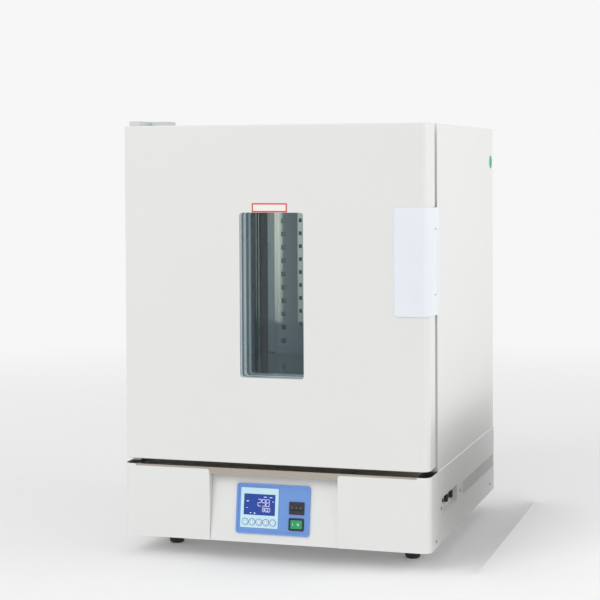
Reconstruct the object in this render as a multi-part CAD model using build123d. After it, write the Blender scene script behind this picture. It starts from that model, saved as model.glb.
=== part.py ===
from build123d import *
import os
from math import atan2, cos, degrees, radians, sin, sqrt

# Forced-air drying oven, in millimetres. X to the right, Y to the back, Z up.
# The origin is on the floor under the middle of the oven, and the door faces -Y.

# Body
body_width = 580
body_depth = 609             # door face to rear panel
body_height = 760            # underside of the base to the top
base_height = 134
base_proud = 1.5             # base skins stand this far outside the cabinet sides
sheet = 1.2                  # thickness of the folded steel
fit = 0.3                    # clearance between parts that fit together
shell_edge_radius = 3
foot_height = 36
foot_top_diameter = 34
foot_bottom_diameter = 27
foot_edge_radius = 5
foot_stud_diameter = 8
foot_stud_length = 6
foot_inset = 58              # foot axis to the side of the cabinet
front_foot_setback = 117
rear_foot_setback = 119

# Door
door_thickness = 53
door_clearance = 10          # between the door and the base
gasket_gap = 16              # between the door and the cabinet
corner_radius = 16
door_edge_radius = 2
skin_depth = 24
pan_inset = 0.8              # the inner pan steps in behind the outer skin
plug_depth = 30
plug_margin = 11             # plug to chamber wall
plug_corner_radius = 12
door_opening_angle = 110

# Window
window_width = 121
window_height = 300
window_offset = -0.5         # middle of the window, from the middle of the door
window_bottom_height = 157   # above the lower edge of the door
window_corner_radius = 6
reveal_sheet = 1
reveal_flange = 8
glass_thickness = 4
outer_glass_setback = 3
inner_glass_setback = 12     # from the inner end of the reveal

# Hinge
hinge_inset = 16.5           # hinge axis to the left side of the door
hinge_setback = 34           # hinge axis behind the door face
hinge_pin_diameter = 8
running_clearance = 0.08
bush_diameter = 14
bush_length = 14
arm_thickness = 4
arm_width = 16
top_arm_lift = 0.6
arm_front_margin = 12        # arm ahead of the hinge axis
arm_foot_width = 52
arm_foot_depth = 34
arm_foot_setback = 8
bottom_arm_drop = 3.2        # lower arm to the lower edge of the door
bottom_leg_height = 50
bearing_washer_diameter = 13
cover_height = 9.5
cover_wall = 1.6
cover_margin = 1.6
cover_edge_radius = 1.5

# Handle and latch lever
handle_proud = 3
handle_left = 62             # left edge of the handle to the side of the door
handle_bottom_height = 274   # above the lower edge of the door
handle_height = 192
handle_edge_radius = 1.2
handle_corner_radius = 5
lever_bottom_height = 38     # above the lower edge of the handle
lever_height = 115
lever_front_setback = 29
lever_width = 28
lever_play = 0.5
lever_bead_radius = 2.2
lever_pin_diameter = 2
lever_pin_length = 4
lever_notch_radius = 3.5
lever_swing = 14
latch_pocket_depth = 30
latch_pocket_wall = 1.2
hook_height = 12
hook_thickness = 3
hook_inset = 10              # hook arm behind the lever plate
hook_reach = 10.5            # hook past the back of the door
tooth_length = 7
latch_bite = 4
striker_thickness = 2
striker_plate_height = 40
striker_plate_width = 16
latch_play = 1

# Gasket
gasket_width = 16
gasket_margin = 22           # gasket to chamber opening
gasket_play = 0.4
gasket_lip_radius = 4

# Chamber
chamber_width = 400
floor_insulation = 71
top_insulation = 70
rear_insulation = 109
chamber_sheet = 1
chamber_corner_radius = 12
floor_plate_height = 85
floor_plate_margin = 4
floor_slot_length = 46
floor_slot_width = 6
floor_slot_pitch = 62
floor_slot_inset = 22

# Shelf uprights, clips and shelves
upright_width = 24
upright_depth = 8
upright_sheet = 1
upright_lift = 60            # above the floor plate
upright_top_gap = 4
front_upright_setback = 135
rear_upright_setback = 390
ladder_pitch = 28
ladder_hole_height = 10
ladder_hole_width = 8
upper_shelf_step = 1         # ladder holes counted from the top
lower_shelf_step = 3
clip_thickness = 1.5
clip_reach = 10
clip_lip = 3
shelf_front_gap = 12
shelf_rear_gap = 10
shelf_side_gap = 3
frame_wire = 5
cross_wire = 4
grid_wire = 3
grid_pitch = 21
shelf_corner_radius = 10
shelf_play = 0.2

# Air duct and fan
duct_depth = 30
duct_face_width = 280
duct_root_width = 320
duct_flange = 12
duct_sheet = 1
duct_top_gap = 30
fan_height = 200             # fan axis above the floor plate
intake_slots = 9
intake_slot_height = 5
intake_slot_pitch = 12
intake_diameter = 118
outlet_hole = 10
outlet_pitch = 28
outlet_inset = 12
impeller_diameter = 132
impeller_plate = 1.5
impeller_blades = 10
blade_height = 15
blade_thickness = 1.2
blade_root_radius = 30
blade_angle = 35
hub_diameter = 24
hub_length = 18
impeller_wall_gap = 4
shaft_diameter = 8
shaft_hole_diameter = 20
motor_diameter = 84
motor_length = 42
motor_flange = 100
motor_flange_thickness = 3
motor_shaft_depth = 30
motor_cover_width = 144
motor_cover_depth = 50
motor_cover_flange = 12
motor_cover_corner = 8
cover_slot_count = 8
cover_slot_height = 5
cover_slot_pitch = 12
cover_slot_length = 92

# Heater
heater_diameter = 8
heater_height = 40           # above the chamber floor
heater_span = 300
heater_front_gap = 60
heater_rear_gap = 55
heater_legs = 4
heater_tail = 26
rail_width = 12
rail_thickness = 2

# Probes
probe_diameter = 5
probe_reach = 95
probe_tail = 24
probe_spacing = 60
probe_collar_diameter = 12
probe_collar_length = 5
probe_drop = 8               # below the chamber top

# Exhaust
exhaust_diameter = 40
exhaust_bore = 35
spigot_diameter = 38
spigot_length = 18
exhaust_offset = 120
exhaust_drop = 58            # pipe axis below the chamber top
exhaust_projection = 42
exhaust_flange_diameter = 60
exhaust_flange_thickness = 2
damper_setback = 26
damper_thickness = 1.5
damper_play = 0.5
damper_shaft_diameter = 4
damper_knob_diameter = 14
damper_knob_length = 8

# Base fronts, ledge and control panel
front_return_depth = 70
ledge_width = 534
ledge_lip = 12
ledge_sheet = 1.2
ledge_reveal = 3.5           # steel left in sight above the base fronts
panel_width = 244
panel_gap = 0.4
panel_sheet = 1.5
panel_bottom_setback = 1.5
panel_top_setback = 19
panel_flange = 12
front_inner_flange = 26
front_top_corner = 5

# Panel layout: across from the middle, and up the slope from the lower edge
bezel_centre_across = -2.5
bezel_centre_up = 61.5
bezel_width = 140
bezel_height = 90
bezel_thickness = 2.5
bezel_rim_height = 1.2
bezel_rim_width = 4
bezel_corner_radius = 5
bezel_lap = 4                # bezel over the edge of the panel hole
bezel_plug_depth = 3
body_step = 1.5              # bodies behind the panel are this much smaller than their faces
controller_across = -27.8
controller_up = 63
controller_size = 72
controller_proud = 1.6
controller_body_size = 66
controller_body_depth = 60
controller_corner_radius = 2
display_width = 60
display_height = 38
display_up = 6               # above the middle of the controller
display_thickness = 1.2
display_depth = 2
key_diameter = 11
key_count = 5
key_pitch = 13.2
key_drop = 25.5              # below the middle of the controller
key_proud = 0.9
key_length = 4
key_travel = 0.6
key_play = 0.35
right_column_across = 43
thumbwheel_up = 66
thumbwheel_case_width = 28.5
thumbwheel_case_height = 22.5
thumbwheel_case_proud = 1.5
thumbwheel_case_depth = 26
thumbwheel_count = 3
thumbwheel_pitch = 8
thumbwheel_width = 5.6
thumbwheel_diameter = 15.5
thumbwheel_proud = 0.6       # wheel rim in front of the case
thumbwheel_play = 0.5
thumbwheel_bore = 4
thumbwheel_notches = 10
switch_up = 37.2
switch_width = 28.5
switch_height = 22.5
switch_proud = 2
switch_body_depth = 24
rocker_width = 21
rocker_height = 15.5
rocker_depth = 9
rocker_play = 0.8
rocker_tilt = 8
rocker_pivot_depth = 3.5
rocker_pin_diameter = 2
rocker_pin_length = 2

# Base sides
side_flange = 14
side_edge_radius = 2.5
louvre_front = 285           # behind the door face
louvre_count = 35
louvre_pitch = 9
louvre_width = 3.5
louvre_bottom = 51           # above the underside of the base
louvre_height = 26
pocket_front = 96
pocket_length = 135
pocket_bottom = 49.5
pocket_height = 33
pocket_depth = 12
pocket_flange = 6
fuse_front = 173.5
fuse_pitch = 40.5
fuse_cap_diameter = 15
fuse_cap_length = 4.5
fuse_cap_flutes = 8
fuse_body_diameter = 12
fuse_body_length = 30
fuse_collar_diameter = 14
fuse_collar_thickness = 1
fuse_stem_diameter = 6
fuse_stem_length = 12
fuse_turn = 45
fitting_front = 147.6
fitting_diameter = 7
fitting_length = 6
tray_sheet = 1.5
tray_rim = 16
tray_front_gap = 5

# Electronics in the base
board_left = -200
board_width = 150
board_front = 210
board_depth = 110
board_thickness = 1.6
standoff_height = 9
standoff_diameter = 6
standoff_inset = 8
transformer_width = 44
transformer_depth = 38
transformer_height = 34
capacitor_diameter = 16
capacitor_height = 26
terminal_length = 70
terminal_height = 12
relay_left = 60
relay_front = 240
sink_width = 70
sink_depth = 90
sink_base = 5
sink_fins = 8
sink_fin_height = 26
sink_fin_thickness = 2
relay_width = 45
relay_length = 58
relay_height = 23

# Power inlet
inlet_offset = -190
inlet_height = 72            # above the underside of the base
inlet_flange_width = 50
inlet_flange_height = 24
inlet_flange_thickness = 2.5
inlet_body_width = 28
inlet_body_height = 21
inlet_body_depth = 22
inlet_recess_width = 24
inlet_recess_height = 17
inlet_recess_depth = 15
inlet_pin_width = 2
inlet_pin_height = 4
inlet_pin_length = 13
inlet_pin_pitch = 7
inlet_corner_radius = 4

# Screws
screw_head_diameter = 7
screw_head_height = 1.8
screw_shank_diameter = 3.4
screw_shank_length = 4
screw_hole_play = 0.2
rear_screw_inset = 14

# Where things lie
half_width = body_width / 2
base_half = half_width + base_proud
overall_depth = handle_proud + body_depth + motor_cover_depth
front_y = handle_proud - overall_depth / 2
back_y = front_y + body_depth
door_back_y = front_y + door_thickness
seam_y = front_y + skin_depth
cabinet_front_y = door_back_y + gasket_gap
base_bottom = foot_height
base_top = base_bottom + base_height
body_top = base_bottom + body_height
door_bottom = base_top + door_clearance
door_top = body_top
chamber_half = chamber_width / 2
chamber_bottom = base_top + floor_insulation
chamber_top = body_top - top_insulation
chamber_back = back_y - rear_insulation
frame_back_y = cabinet_front_y + sheet
floor_plate_z = chamber_bottom + floor_plate_height
plug_back_y = door_back_y + plug_depth
window_left = window_offset - window_width / 2
window_right = window_offset + window_width / 2
window_bottom = door_bottom + window_bottom_height
window_top = window_bottom + window_height
hinge_x = hinge_inset - half_width
hinge_y = front_y + hinge_setback
handle_bottom = door_bottom + handle_bottom_height
handle_top = handle_bottom + handle_height
handle_right = half_width + handle_proud
lever_bottom = handle_bottom + lever_bottom_height
lever_top = lever_bottom + lever_height
lever_front_y = front_y + lever_front_setback
lever_back_y = lever_front_y + lever_width
lever_axis_x = handle_right - lever_bead_radius
lever_axis_y = lever_front_y + lever_bead_radius
latch_z = (lever_bottom + lever_top) / 2
fan_z = floor_plate_z + fan_height
duct_face_y = chamber_back - duct_depth
duct_top = chamber_top - duct_top_gap
exhaust_z = chamber_top - exhaust_drop
damper_y = back_y + exhaust_projection - damper_setback
panel_tilt = degrees(atan2(panel_top_setback - panel_bottom_setback, base_height - ledge_lip))
panel_plane = Plane(
    origin=(0, front_y + panel_bottom_setback, base_bottom),
    x_dir=(1, 0, 0),
    z_dir=(0, -cos(radians(panel_tilt)), sin(radians(panel_tilt))),
)
panel_length = (base_height - ledge_sheet - fit) / cos(radians(panel_tilt))
rail_y = (front_y + front_upright_setback, front_y + rear_upright_setback)
upright_bottom = floor_plate_z + upright_lift
upright_top = chamber_top - upright_top_gap
ladder_first = upright_bottom + ladder_pitch / 2
ladder_steps = int((upright_top - ladder_first - ladder_hole_height / 2) // ladder_pitch) + 1
upper_shelf_z = ladder_first + (ladder_steps - upper_shelf_step) * ladder_pitch
lower_shelf_z = ladder_first + (ladder_steps - lower_shelf_step) * ladder_pitch
pocket_floor_x = base_half - pocket_depth
pocket_z = base_bottom + pocket_bottom + pocket_height / 2
foot_places = [
    (side * (half_width - foot_inset), y)
    for side in (-1, 1)
    for y in (front_y + front_foot_setback, back_y - rear_foot_setback)
]


def block(x_low, x_high, y_low, y_high, z_low, z_high):
    middle = Pos((x_low + x_high) / 2, (y_low + y_high) / 2, (z_low + z_high) / 2)
    return middle * Box(x_high - x_low, y_high - y_low, z_high - z_low)


def front_slab(x_low, x_high, z_low, z_high, y_low, y_high, corner=0):
    # a slab that faces the front, with its corners rounded as seen from there
    width, height = x_high - x_low, z_high - z_low
    outline = RectangleRounded(width, height, corner) if corner else Rectangle(width, height)
    plane = Plane(((x_low + x_high) / 2, y_high, (z_low + z_high) / 2), x_dir=(1, 0, 0), z_dir=(0, -1, 0))
    return extrude(plane * outline, y_high - y_low)


def rod(start, direction, diameter, length):
    return extrude(Plane(start, z_dir=direction) * Circle(diameter / 2), length)


def on_panel(shape):
    # shapes drawn flat with +Z outwards are laid on the sloping control panel
    return panel_plane.location * shape


def panel_block(across, up, width, height, low, high, corner=0):
    outline = RectangleRounded(width, height, corner) if corner else Rectangle(width, height)
    return Pos(across, up, low) * extrude(outline, high - low)


def mirrored(shape):
    return mirror(shape, about=Plane.YZ)


# Cabinet


def outer_shell():
    outer = block(-half_width, half_width, cabinet_front_y, back_y, base_top, body_top)
    outer = fillet(outer.edges().filter_by(Axis.Y).group_by(Axis.Z)[-1], shell_edge_radius)
    inner = block(
        sheet - half_width, half_width - sheet, cabinet_front_y - sheet, back_y + sheet,
        base_top + sheet, body_top - sheet,
    )
    inner = fillet(inner.edges().filter_by(Axis.Y).group_by(Axis.Z)[-1], shell_edge_radius - sheet)
    return outer - inner


def shell_lining(y_low, y_high, gap):
    # the space inside the outer shell, between two depths
    side = half_width - sheet - gap
    lining = block(-side, side, y_low, y_high, base_top + sheet + gap, body_top - sheet - gap)
    return fillet(lining.edges().filter_by(Axis.Y).group_by(Axis.Z)[-1], shell_edge_radius - sheet)


def front_frame():
    plate = shell_lining(cabinet_front_y, frame_back_y, fit / 3)
    mouth = front_slab(
        -chamber_half, chamber_half, chamber_bottom, chamber_top,
        cabinet_front_y - sheet, frame_back_y + sheet,
    )
    return plate - mouth


def rear_panel():
    plate = shell_lining(back_y - sheet, back_y, fit / 3)
    plate -= rod((0, back_y + sheet, fan_z), (0, -1, 0), shaft_hole_diameter, 3 * sheet)
    plate -= rod(
        (exhaust_offset, back_y + sheet, exhaust_z), (0, -1, 0), exhaust_diameter + 2 * fit, 3 * sheet
    )
    return plate - screw_holes(rear_screws() + cover_screws())


def chamber_outline(y_low, growth):
    # the chamber as a solid, from a depth to its rear wall, larger by a growth
    solid = block(
        -chamber_half - growth, chamber_half + growth, y_low, chamber_back + growth,
        chamber_bottom - growth, chamber_top + growth,
    )
    rear_edges = solid.edges().filter_by(Axis.Z).group_by(Axis.Y)[-1]
    return fillet(rear_edges, chamber_corner_radius + growth)


def wall_passages(length, play):
    # what passes backwards through the rear wall of the chamber
    passages = rod((0, chamber_back - sheet, fan_z), (0, 1, 0), shaft_hole_diameter, length)
    passages += rod(
        (exhaust_offset, chamber_back - sheet, exhaust_z), (0, 1, 0), exhaust_diameter + 2 * play, length
    )
    for x in probe_places():
        passages += rod(
            (x, chamber_back - sheet, chamber_top - probe_drop), (0, 1, 0),
            probe_diameter + 2 * play, probe_tail + sheet + play,
        )
    for x in (heater_path_left(), -heater_path_left()):
        passages += rod(
            (x, chamber_back - sheet, chamber_bottom + heater_height), (0, 1, 0),
            heater_diameter + 2 * play, heater_tail + sheet + play,
        )
    return passages


def inner_chamber():
    shell = chamber_outline(frame_back_y, chamber_sheet) - chamber_outline(frame_back_y - sheet, 0)
    return shell - wall_passages(rear_insulation, fit)


def insulation():
    wool = shell_lining(frame_back_y + fit, back_y - screw_shank_length - fit, fit)
    wool -= chamber_outline(frame_back_y, chamber_sheet + fit)
    return wool - wall_passages(rear_insulation + sheet, 2 * fit)


def floor_slots(x, y_low, y_high):
    count = int((y_high - y_low) // floor_slot_pitch)
    first = (y_low + y_high - (count - 1) * floor_slot_pitch) / 2
    return [(x, first + step * floor_slot_pitch) for step in range(count)]


def floor_plate():
    # the loose floor stands over the heater on two slotted legs and a front wall
    half = chamber_half - fit
    y_low = plug_back_y + floor_plate_margin
    y_high = chamber_back - chamber_corner_radius
    outer = block(-half, half, y_low, y_high, chamber_bottom, floor_plate_z)
    inner = block(
        chamber_sheet - half, half - chamber_sheet, y_low + chamber_sheet, y_high + sheet,
        chamber_bottom - sheet, floor_plate_z - chamber_sheet,
    )
    plate = outer - inner
    for side in (-1, 1):
        for x, y in floor_slots(side * (half - floor_slot_inset), y_low, y_high):
            plate -= block(
                x - floor_slot_width / 2, x + floor_slot_width / 2,
                y - floor_slot_length / 2, y + floor_slot_length / 2,
                floor_plate_z - 2 * sheet, floor_plate_z + sheet,
            )
            plate -= block(
                side * half - 2 * sheet, side * half + 2 * sheet,
                y - floor_slot_length / 2, y + floor_slot_length / 2,
                chamber_bottom + floor_plate_height / 4, chamber_bottom + floor_plate_height / 2,
            )
    return plate


def duct_profile(shrink, depth_shrink):
    # plan of the raised duct, wider at the rear wall than at its face
    root = duct_root_width / 2 - shrink
    face = duct_face_width / 2 - shrink
    back = chamber_back - fit
    return Polyline(
        (-root, back), (-face, duct_face_y + depth_shrink), (face, duct_face_y + depth_shrink),
        (root, back), close=True,
    )


def duct_cover():
    height = duct_top - floor_plate_z - fit
    outer = extrude(Pos(0, 0, floor_plate_z + fit) * make_face(duct_profile(0, 0)), height)
    inner = extrude(
        Pos(0, 0, floor_plate_z + fit + duct_sheet) * make_face(duct_profile(duct_sheet, duct_sheet)),
        height - 2 * duct_sheet,
    )
    cover = outer - inner
    for side in (-1, 1):
        root = side * (duct_root_width / 2 - duct_sheet)
        edge = side * (duct_root_width / 2 + duct_flange)
        cover += block(
            min(root, edge), max(root, edge), chamber_back - fit - duct_sheet, chamber_back - fit,
            floor_plate_z + fit, duct_top,
        )
    cover -= intake_grille()
    first = floor_plate_z + outlet_pitch
    for step in range(int((duct_top - first - outlet_hole) // outlet_pitch) + 1):
        for side in (-1, 1):
            x = side * (duct_face_width / 2 - outlet_inset)
            z = first + step * outlet_pitch
            cover -= block(
                x - outlet_hole / 2, x + outlet_hole / 2, duct_face_y - sheet, duct_face_y + 2 * sheet,
                z - outlet_hole / 2, z + outlet_hole / 2,
            )
    return cover


def intake_grille():
    slots = []
    for step in range(intake_slots):
        height = (step - (intake_slots - 1) / 2) * intake_slot_pitch
        half = sqrt((intake_diameter / 2) ** 2 - height ** 2)
        slots.append(
            block(
                -half, half, duct_face_y - sheet, duct_face_y + 2 * sheet,
                fan_z + height - intake_slot_height / 2, fan_z + height + intake_slot_height / 2,
            )
        )
    return Compound(slots)


def upright(side, y):
    # a folded channel on the side wall, with a ladder of holes for the shelf clips
    wall = side * (chamber_half - fit / 3)
    face = side * (chamber_half - upright_depth)
    low, high = min(wall, face), max(wall, face)
    channel = block(low, high, y - upright_width / 2, y + upright_width / 2, upright_bottom, upright_top)
    hollow_low = low + upright_sheet if side > 0 else low - sheet
    hollow_high = high + sheet if side > 0 else high - upright_sheet
    channel -= block(
        hollow_low, hollow_high, y - upright_width / 2 + upright_sheet,
        y + upright_width / 2 - upright_sheet, upright_bottom - sheet, upright_top + sheet,
    )
    for step in range(ladder_steps):
        z = ladder_first + step * ladder_pitch
        channel -= block(
            face - 2 * sheet, face + 2 * sheet, y - ladder_hole_width / 2, y + ladder_hole_width / 2,
            z - ladder_hole_height / 2, z + ladder_hole_height / 2,
        )
    return channel


def shelf_uprights():
    return Compound([upright(side, y) for side in (-1, 1) for y in rail_y])


def shelf_clip(y, z):
    # right-hand clip: a tongue behind the channel face, a seat and a turned-up lip
    face = chamber_half - upright_depth
    seat_top = z - ladder_hole_height / 2 + fit + clip_thickness
    half = ladder_hole_width / 2 - fit
    back = face + upright_sheet + fit
    clip = block(face - clip_reach, back + clip_thickness, y - half, y + half, seat_top - clip_thickness, seat_top)
    clip += block(
        back, back + clip_thickness, y - half, y + half, seat_top - clip_thickness - clip_lip, seat_top
    )
    clip += block(
        face - clip_reach, face - clip_reach + clip_thickness, y - half, y + half, seat_top, seat_top + clip_lip
    )
    return clip


def shelf_clips():
    right = [shelf_clip(y, z) for y in rail_y for z in (lower_shelf_z, upper_shelf_z)]
    return Compound(right + [mirrored(clip) for clip in right])


def wire_shelf(z):
    # rods lie along Y on a bent frame, which rests on the clips
    seat = z - ladder_hole_height / 2 + fit + clip_thickness
    frame_z = seat + shelf_play + frame_wire / 2
    half = chamber_half - upright_depth - shelf_side_gap - frame_wire / 2
    y_low = plug_back_y + shelf_front_gap
    y_high = duct_face_y - shelf_rear_gap
    y_middle = (y_low + y_high) / 2
    outline = Plane((0, y_middle, frame_z)) * RectangleRounded(2 * half, y_high - y_low, shelf_corner_radius)
    path = outline.wire()
    section = Plane(origin=path @ 0, z_dir=path % 0) * Circle(frame_wire / 2)
    shelf = sweep(section, path)
    count = int((2 * half - frame_wire) // grid_pitch)
    grid_z = frame_z + frame_wire / 2 - grid_wire / 4
    for step in range(count):
        x = (step - (count - 1) / 2) * grid_pitch
        shelf += rod((x, y_low, grid_z), (0, 1, 0), grid_wire, y_high - y_low)
    for y in rail_y:
        shelf += rod((-half, y + upright_width, frame_z), (1, 0, 0), cross_wire, 2 * half)
    return shelf


def fan_impeller():
    # a back plate with bent blades on a hub, on the long shaft from the motor
    plate_y = chamber_back - impeller_wall_gap
    wheel = rod((0, plate_y - impeller_plate, fan_z), (0, 1, 0), impeller_diameter, impeller_plate)
    wheel += rod((0, plate_y - hub_length, fan_z), (0, 1, 0), hub_diameter, hub_length)
    blade_length = impeller_diameter / 2 - blade_root_radius
    for step in range(impeller_blades):
        blade = Box(blade_length, blade_height, blade_thickness)
        blade = Pos(impeller_diameter / 2 - blade_length / 2, 0, 0) * Rot(0, blade_angle, 0) * blade
        turn = Rot(0, 360 * step / impeller_blades, 0)
        wheel += Pos(0, plate_y - impeller_plate - blade_height / 2, fan_z) * turn * blade
    shaft_end = back_y + motor_shaft_depth
    wheel += rod((0, plate_y - hub_length, fan_z), (0, 1, 0), shaft_diameter, shaft_end - plate_y + hub_length)
    return wheel


def fan_motor():
    flange = front_slab(
        -motor_flange / 2, motor_flange / 2, fan_z - motor_flange / 2, fan_z + motor_flange / 2,
        back_y, back_y + motor_flange_thickness, motor_cover_corner,
    )
    case = rod((0, back_y, fan_z), (0, 1, 0), motor_diameter, motor_length)
    case = chamfer(case.faces().sort_by(Axis.Y)[-1].edges(), motor_flange_thickness)
    motor = flange + case
    bore = shaft_diameter + 2 * running_clearance
    return motor - rod((0, back_y - sheet, fan_z), (0, 1, 0), bore, motor_shaft_depth + 3 * sheet)


def motor_cover():
    half = motor_cover_width / 2
    rear = back_y + motor_cover_depth
    cover = front_slab(-half, half, fan_z - half, fan_z + half, back_y, rear, motor_cover_corner)
    cover = fillet(cover.faces().sort_by(Axis.Y)[-1].edges(), motor_cover_corner / 2)
    brim = half + motor_cover_flange
    cover += front_slab(-brim, brim, fan_z - brim, fan_z + brim, back_y, back_y + sheet, motor_cover_corner)
    hollow = half - sheet
    cover -= front_slab(
        -hollow, hollow, fan_z - hollow, fan_z + hollow, back_y - sheet, rear - sheet, motor_cover_corner - sheet
    )
    for step in range(cover_slot_count):
        z = fan_z + (step - (cover_slot_count - 1) / 2) * cover_slot_pitch
        cover -= block(
            -cover_slot_length / 2, cover_slot_length / 2, rear - 2 * sheet, rear + sheet,
            z - cover_slot_height / 2, z + cover_slot_height / 2,
        )
    return cover - screw_holes(cover_screws())


def heater_path_left():
    return -heater_span / 2


def heater_element():
    # a bent tubular element on two rails, with both ends through the rear wall
    z = chamber_bottom + heater_height
    y_low = frame_back_y + heater_front_gap
    y_turn = chamber_back - heater_rear_gap
    step = heater_span / (heater_legs - 1)
    points = [(heater_path_left(), chamber_back + heater_tail, z)]
    for leg in range(heater_legs):
        x = heater_path_left() + leg * step
        near, far = (y_turn, y_low) if leg % 2 == 0 else (y_low, y_turn)
        if leg > 0:
            points.append((x, near, z))
        if leg < heater_legs - 1:
            points.append((x, far, z))
    points.append((-heater_path_left(), chamber_back + heater_tail, z))
    path = FilletPolyline(*points, radius=step / 3)
    tube = sweep(Plane(origin=path @ 0, z_dir=path % 0) * Circle(heater_diameter / 2), path)
    rails = [heater_rail(y, z) for y in (y_low + heater_front_gap, y_turn - heater_front_gap)]
    return Compound([tube] + rails)


def heater_rail(y, z):
    half = heater_span / 2 + heater_front_gap / 2
    top = z - heater_diameter / 2 - fit / 3
    rail = block(-half, half, y - rail_width / 2, y + rail_width / 2, top - rail_thickness, top)
    for side in (-1, 1):
        x = side * (half - rail_thickness / 2)
        rail += block(
            x - rail_thickness / 2, x + rail_thickness / 2, y - rail_width / 2, y + rail_width / 2,
            chamber_bottom, top,
        )
    return rail


def probe_places():
    return (-probe_spacing / 2, probe_spacing / 2)


def sensor_probes():
    probes = []
    z = chamber_top - probe_drop
    for x in probe_places():
        probe = rod((x, chamber_back - probe_reach, z), (0, 1, 0), probe_diameter, probe_reach + probe_tail)
        probe = fillet(probe.faces().sort_by(Axis.Y)[0].edges(), probe_diameter / 3)
        probe += rod(
            (x, chamber_back - probe_collar_length, z), (0, 1, 0), probe_collar_diameter, probe_collar_length
        )
        probes.append(probe)
    return Compound(probes)


def exhaust_pipe():
    start = (exhaust_offset, chamber_back, exhaust_z)
    length = back_y + exhaust_projection - chamber_back
    pipe = rod(start, (0, 1, 0), exhaust_diameter, length)
    pipe += rod(
        (exhaust_offset, back_y, exhaust_z), (0, 1, 0), exhaust_flange_diameter, exhaust_flange_thickness
    )
    spigot_y = back_y + exhaust_projection - spigot_length
    collar = rod(
        (exhaust_offset, spigot_y, exhaust_z), (0, 1, 0), exhaust_diameter + 1, spigot_length + 1
    )
    pipe -= collar - rod((exhaust_offset, spigot_y, exhaust_z), (0, 1, 0), spigot_diameter, spigot_length + 1)
    pipe -= rod(start, (0, 1, 0), exhaust_bore, length)
    hole = damper_shaft_diameter + 2 * running_clearance
    cross = (exhaust_offset - exhaust_diameter, damper_y, exhaust_z)
    return pipe - rod(cross, (1, 0, 0), hole, 2 * exhaust_diameter)


def exhaust_damper():
    # a butterfly disc, shut at rest, on a cross shaft with a round knob at its end
    disc = exhaust_bore - 2 * damper_play
    damper = rod(
        (exhaust_offset, damper_y - damper_thickness / 2, exhaust_z), (0, 1, 0), disc, damper_thickness
    )
    left = exhaust_offset - exhaust_diameter / 2 - damper_play
    right = exhaust_offset + exhaust_diameter / 2 + fit + damper_knob_length
    damper += rod((left, damper_y, exhaust_z), (1, 0, 0), damper_shaft_diameter, right - left)
    knob = rod(
        (right - damper_knob_length, damper_y, exhaust_z), (1, 0, 0), damper_knob_diameter, damper_knob_length
    )
    return damper + chamfer(knob.faces().sort_by(Axis.X)[-1].edges(), damper_thickness)


def door_gasket():
    inner_half = chamber_half + gasket_margin
    inner_low = chamber_bottom - gasket_margin
    inner_high = chamber_top + gasket_margin
    front = door_back_y + gasket_play
    loop = front_slab(
        -inner_half - gasket_width, inner_half + gasket_width, inner_low - gasket_width,
        inner_high + gasket_width, front, cabinet_front_y, gasket_width + gasket_lip_radius,
    )
    loop = fillet(loop.faces().sort_by(Axis.Y)[0].edges(), gasket_lip_radius)
    return loop - front_slab(
        -inner_half, inner_half, inner_low, inner_high, front - sheet, cabinet_front_y + sheet,
        gasket_lip_radius,
    )


def tooth_place():
    # inboard tip of the latch tooth, and the front and back of the tooth
    arm_outer = half_width - hook_inset
    tip = arm_outer - hook_thickness - tooth_length
    back = door_back_y + hook_reach
    return tip, back - hook_thickness, back


def latch_striker():
    # a folded catch whose lip reaches in front of the latch tooth
    tip, tooth_front, tooth_back = tooth_place()
    lip_back = tooth_front - latch_play
    lip_front = lip_back - striker_thickness
    web_right = tip - latch_play
    lip_right = tip + latch_bite
    half = hook_height / 2
    catch = block(
        web_right - striker_thickness, web_right, lip_front, cabinet_front_y, latch_z - half, latch_z + half
    )
    catch += block(web_right - striker_thickness, lip_right, lip_front, lip_back, latch_z - half, latch_z + half)
    return catch + front_slab(
        web_right - striker_plate_width, web_right, latch_z - striker_plate_height / 2,
        latch_z + striker_plate_height / 2, cabinet_front_y - striker_thickness, cabinet_front_y,
        striker_thickness,
    )


def hinge_arms():
    half = arm_width / 2
    low = body_top + top_arm_lift
    foot_front = cabinet_front_y + arm_foot_setback
    top_arm = block(hinge_x - half, hinge_x + half, hinge_y - arm_front_margin, foot_front, low, low + arm_thickness)
    top_arm += block(
        hinge_x - half, hinge_x - half + arm_foot_width, foot_front, foot_front + arm_foot_depth,
        body_top, low + arm_thickness,
    )
    pin_length = bush_length - 1
    top_arm += rod((hinge_x, hinge_y, low), (0, 0, -1), hinge_pin_diameter, pin_length)
    high = door_bottom - bottom_arm_drop
    bottom_arm = block(
        hinge_x - half, hinge_x + half, hinge_y - arm_front_margin, cabinet_front_y,
        high - arm_thickness, high,
    )
    bottom_arm += block(
        hinge_x - half, hinge_x + half, cabinet_front_y - arm_thickness, cabinet_front_y,
        high - arm_thickness, high + bottom_leg_height,
    )
    bottom_arm += rod(
        (hinge_x, hinge_y, high), (0, 0, 1), bearing_washer_diameter, bottom_arm_drop - fit
    )
    bottom_arm += rod((hinge_x, hinge_y, high), (0, 0, 1), hinge_pin_diameter, bottom_arm_drop + pin_length)
    return Compound([top_arm, bottom_arm])


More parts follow.
